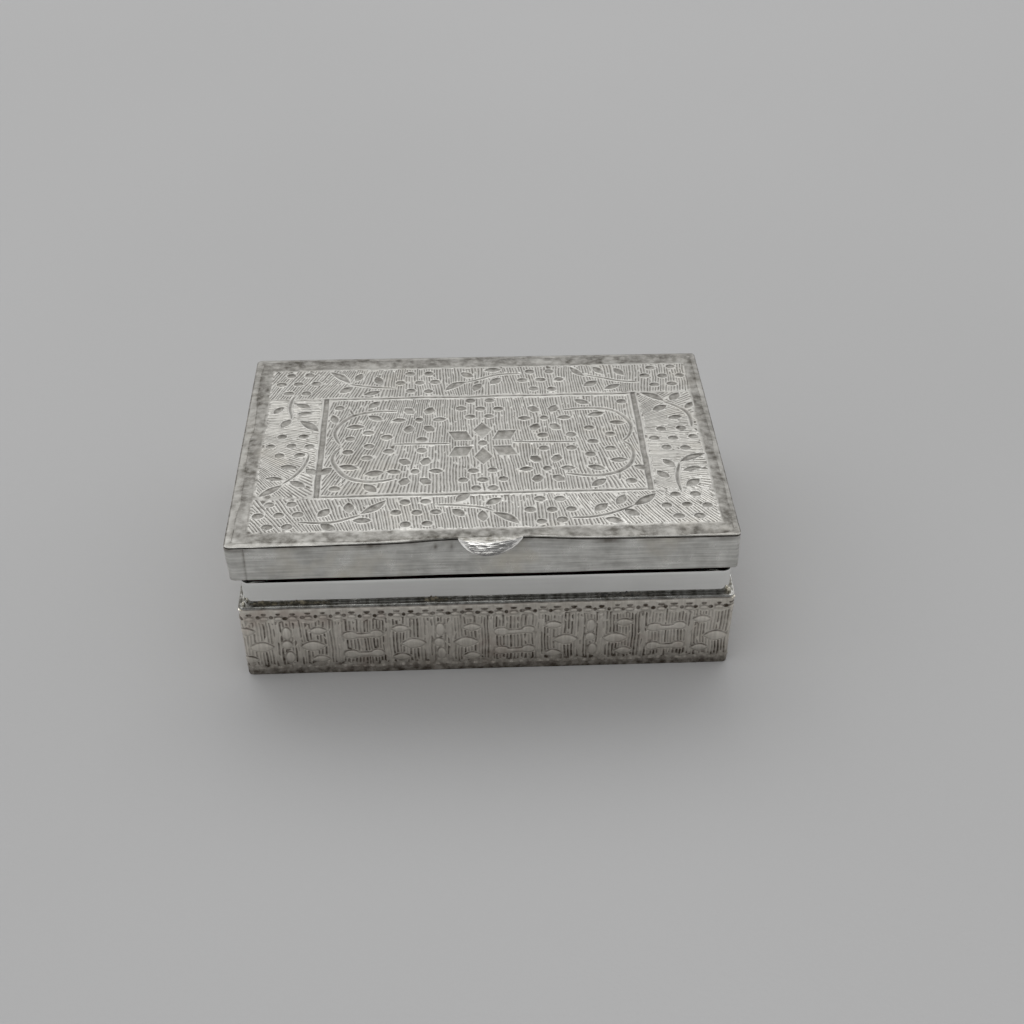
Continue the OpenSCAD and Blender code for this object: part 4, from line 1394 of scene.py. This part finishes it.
def build_flux():
    """Residue along the collar's front foot, thin on the ledge and thicker up against the collar."""
    ledge = LEDGE_HIGH[2]
    face = -(HALF_D - COLLAR_INSET)
    for i, (x0, x1, tall, seed, material) in enumerate(FLUX, 1):
        x = np.linspace(x0, x1, int((x1 - x0) * 9))
        size = tall * (0.42 + ripple(x[:, None], seed, 3.5, 0.34) + ripple(x[:, None], seed + 60, 0.8, 0.24))
        size = np.clip(size, 0.05, tall) * np.minimum(1, np.minimum(x - x0, x1 - x) / 0.6 + 0.08)
        deep = np.clip(0.26 + ripple(x[:, None], seed + 70, 1.2, 0.12), 0.08, 0.45)
        points = []
        for xi, up, out in zip(x, size, deep):
            section = [(-0.03, up), (0.03, up * 0.97), (out * 0.35, up * 0.5)]
            section += [(out, 0.03), (out, -0.05), (-0.03, -0.05)]
            points += [(xi, face - y, ledge + z) for y, z in section]
        add_piece(f"flux_residue_{i}", points, bar_faces(len(x), 6), material, "base")


build_thumb()
build_solder()
build_flux()

# Hinge


def turned_piece(name, profile, body, node, seam_at=None, count=48):
    """A round piece on the hinge axis from a closed profile of x and radius, with a rolled seam."""
    a = np.arange(count) / count * 2 * math.pi
    notch = np.zeros(count)
    if seam_at is not None:
        gap = (a - math.radians(seam_at) + math.pi) % (2 * math.pi) - math.pi
        notch = 0.07 * np.exp(-((gap / 0.09) ** 2))
    rings = []
    for x, radius in profile:
        r = radius - notch * (radius > 1.0)
        rings.append(np.column_stack([np.full(count, x), AXIS_Y + r * np.cos(a), AXIS_Z + r * np.sin(a)]))
    faces = rings_to_faces(count, len(rings))
    marks = {"tarnish_and_shade": np.tile(np.clip(notch * 14, 0, 1), len(rings))}
    points = np.concatenate(rings)
    add_piece(name, points, faces, HINGE_METAL, body, [node], 40, body == "lid", marks)


KNUCKLES = (
    "base_knuckle_left", "lid_knuckle_left", "base_knuckle_middle", "lid_knuckle_right", "base_knuckle_right",
)
BORE, KNUCKLE_EDGE = 0.75, 0.12
PIN_RADIUS, PEENED = 0.7, 0.35


def build_hinge():
    for node in KNUCKLES:
        (x0, y0, _), (x1, y1, _) = node_box(node)
        outer, edge = (y1 - y0) / 2, KNUCKLE_EDGE
        end = [(0, BORE), (0, outer - edge), (edge * 0.35, outer - edge * 0.3), (edge, outer)]
        profile = [(x0 + x, r) for x, r in end]
        profile += [(x, outer) for x in np.linspace(x0 + 1, x1 - 1, 6)]
        profile += [(x1 - x, r) for x, r in end[::-1]]
        body = node.split("_")[0]
        turned_piece(f"{node}_tube", profile, body, node, 120 if body == "lid" else -120)
    (x0, _, z0), (x1, _, z1) = node_box("hinge_pin")
    head = (z1 - z0) / 2
    end = [(-0.03, 0.02), (0, head * 0.55), (0.1, head * 0.88), (0.22, head)]
    end += [(PEENED, head * 0.97), (PEENED, PIN_RADIUS)]
    profile = [(x0 + x, r) for x, r in end] + [(x1 - x, r) for x, r in end[::-1]]
    turned_piece("hinge_pin_wire", profile, "base", "hinge_pin")
    for node in ("base_bearer", "lid_bearer"):
        bearer = frame["nodes"][node]
        bearer.data.materials.clear()
        bearer.data.materials.append(HINGE_METAL)


build_hinge()

# Floor, light and camera


FLOOR_REACH = 3.0


def build_stage():
    mesh = bpy.data.meshes.new("floor")
    mesh.from_pydata([(x * FLOOR_REACH, y * FLOOR_REACH, 0) for x, y in CORNERS], [], [(0, 1, 2, 3)])
    floor = bpy.data.objects.new("floor", mesh)
    bpy.context.scene.collection.objects.link(floor)
    material, tree, bsdf = new_material("floor")
    mm = in_mm(tree)
    tone = noise(tree, mm, 0.004, 2.0, 0.5)
    colour = mixed(tree, ranged(tree, tone, 0.3, 0.7, 0, 1), (0.455, 0.455, 0.453), (0.485, 0.485, 0.484))
    socket_input(tree, bsdf, "Base Color", colour)
    bsdf.inputs["Roughness"].default_value = 0.95
    bsdf.inputs["Specular IOR Level"].default_value = 0.1
    bumped(tree, bsdf, 0.1, noise(tree, mm, 1.6, 2.0), 0.3)
    mesh.materials.append(material)


def dimmed(tree, colour, level):
    grey = add(tree, "ShaderNodeCombineColor", {0: level, 1: level, 2: level}).outputs[0]
    return mixed(tree, 1.0, colour, grey, "MULTIPLY")


def build_world():
    """A pale room: brighter low down behind the box, dim overhead, and dark where the viewer stands."""
    world = bpy.data.worlds.new("room")
    bpy.context.scene.world = world
    world.use_nodes = True
    tree = world.node_tree
    background = tree.nodes["Background"]
    place = add(tree, "ShaderNodeTexCoord").outputs["Generated"]
    parts = add(tree, "ShaderNodeSeparateXYZ", {0: place}).outputs

    def ramp(stops):
        node = add(tree, "ShaderNodeValToRGB", {0: parts["Z"]})
        for i, (at, level) in enumerate(stops):
            stop = node.color_ramp.elements[i] if i < 2 else node.color_ramp.elements.new(at)
            stop.position = at
            stop.color = (level, level, level * 1.01, 1)
        return node.outputs[0]

    behind = [(0.0, 0.55), (1.0, 0.55), (0.15, 0.60), (0.32, 0.50), (0.46, 0.36), (0.60, 0.33), (0.80, 0.42)]
    behind = ramp(behind)
    before = ramp([(0.0, 0.45), (1.0, 0.55), (0.3, 0.28), (0.66, 0.06), (0.85, 0.26)])
    beside = ramp([(0.0, 0.90), (1.0, 0.60), (0.2, 1.20), (0.5, 1.15), (0.8, 0.80)])
    room = mixed(tree, ranged(tree, parts["Y"], -0.35, 0.35, 0, 1), before, behind)
    sideways = maths(tree, "ABSOLUTE", parts["X"], 0.0)
    nearer = ranged(tree, parts["Y"], -0.4, 0.2, 0.4, 1)
    beside = dimmed(tree, beside, nearer)
    room = mixed(tree, ranged(tree, sideways, 0.28, 0.66, 0, 1), room, beside)
    left = ranged(tree, parts["X"], -1, 1, 1.2, 0.8)
    room = dimmed(tree, room, left)
    seen = add(tree, "ShaderNodeLightPath").outputs["Is Camera Ray"]
    socket_input(tree, background, "Color", mixed(tree, seen, room, (0.62, 0.62, 0.63)))


def add_lamp(name, place, size, watts, target=(0, 0, 0.01)):
    lamp = bpy.data.lights.new(name, "AREA")
    lamp.shape = "DISK"
    lamp.size = size
    lamp.energy = watts
    holder = bpy.data.objects.new(name, lamp)
    holder.location = place
    aim = np.array(target) - np.array(place)
    yaw = math.atan2(aim[1], aim[0])
    pitch = math.acos(-aim[2] / np.linalg.norm(aim))
    holder.rotation_euler = (pitch, 0, yaw - math.pi / 2)
    bpy.context.scene.collection.objects.link(holder)


def build_camera():
    focal_pixels, picture = 1538.0, 1024
    place = (-2.54, -192.02, 181.41)
    downward, sideways = 41.866, 2.164
    data = bpy.data.cameras.new("camera")
    data.sensor_width = 36.0
    data.lens = data.sensor_width * focal_pixels / picture
    data.clip_start, data.clip_end = 0.01, 20
    camera = bpy.data.objects.new("camera", data)
    camera.location = [v * MM for v in place]
    camera.rotation_euler = (math.radians(90 - downward), 0, math.radians(-sideways))
    bpy.context.scene.collection.objects.link(camera)
    bpy.context.scene.camera = camera


build_stage()
build_world()
add_lamp("window_left", (-0.27, 0.74, 1.00), 0.9, 3.1)
add_lamp("window_right", (0.27, 0.72, 0.96), 0.9, 2.5)
add_lamp("front_left", (-0.75, -0.80, 0.60), 0.8, 0.6)
add_lamp("front_right", (0.80, -0.70, 0.55), 0.8, 0.5)
add_lamp("overhead", (-0.08, -0.16, 0.85), 0.45, 0.7)
build_camera()
bpy.context.scene.view_settings.view_transform = "Standard"
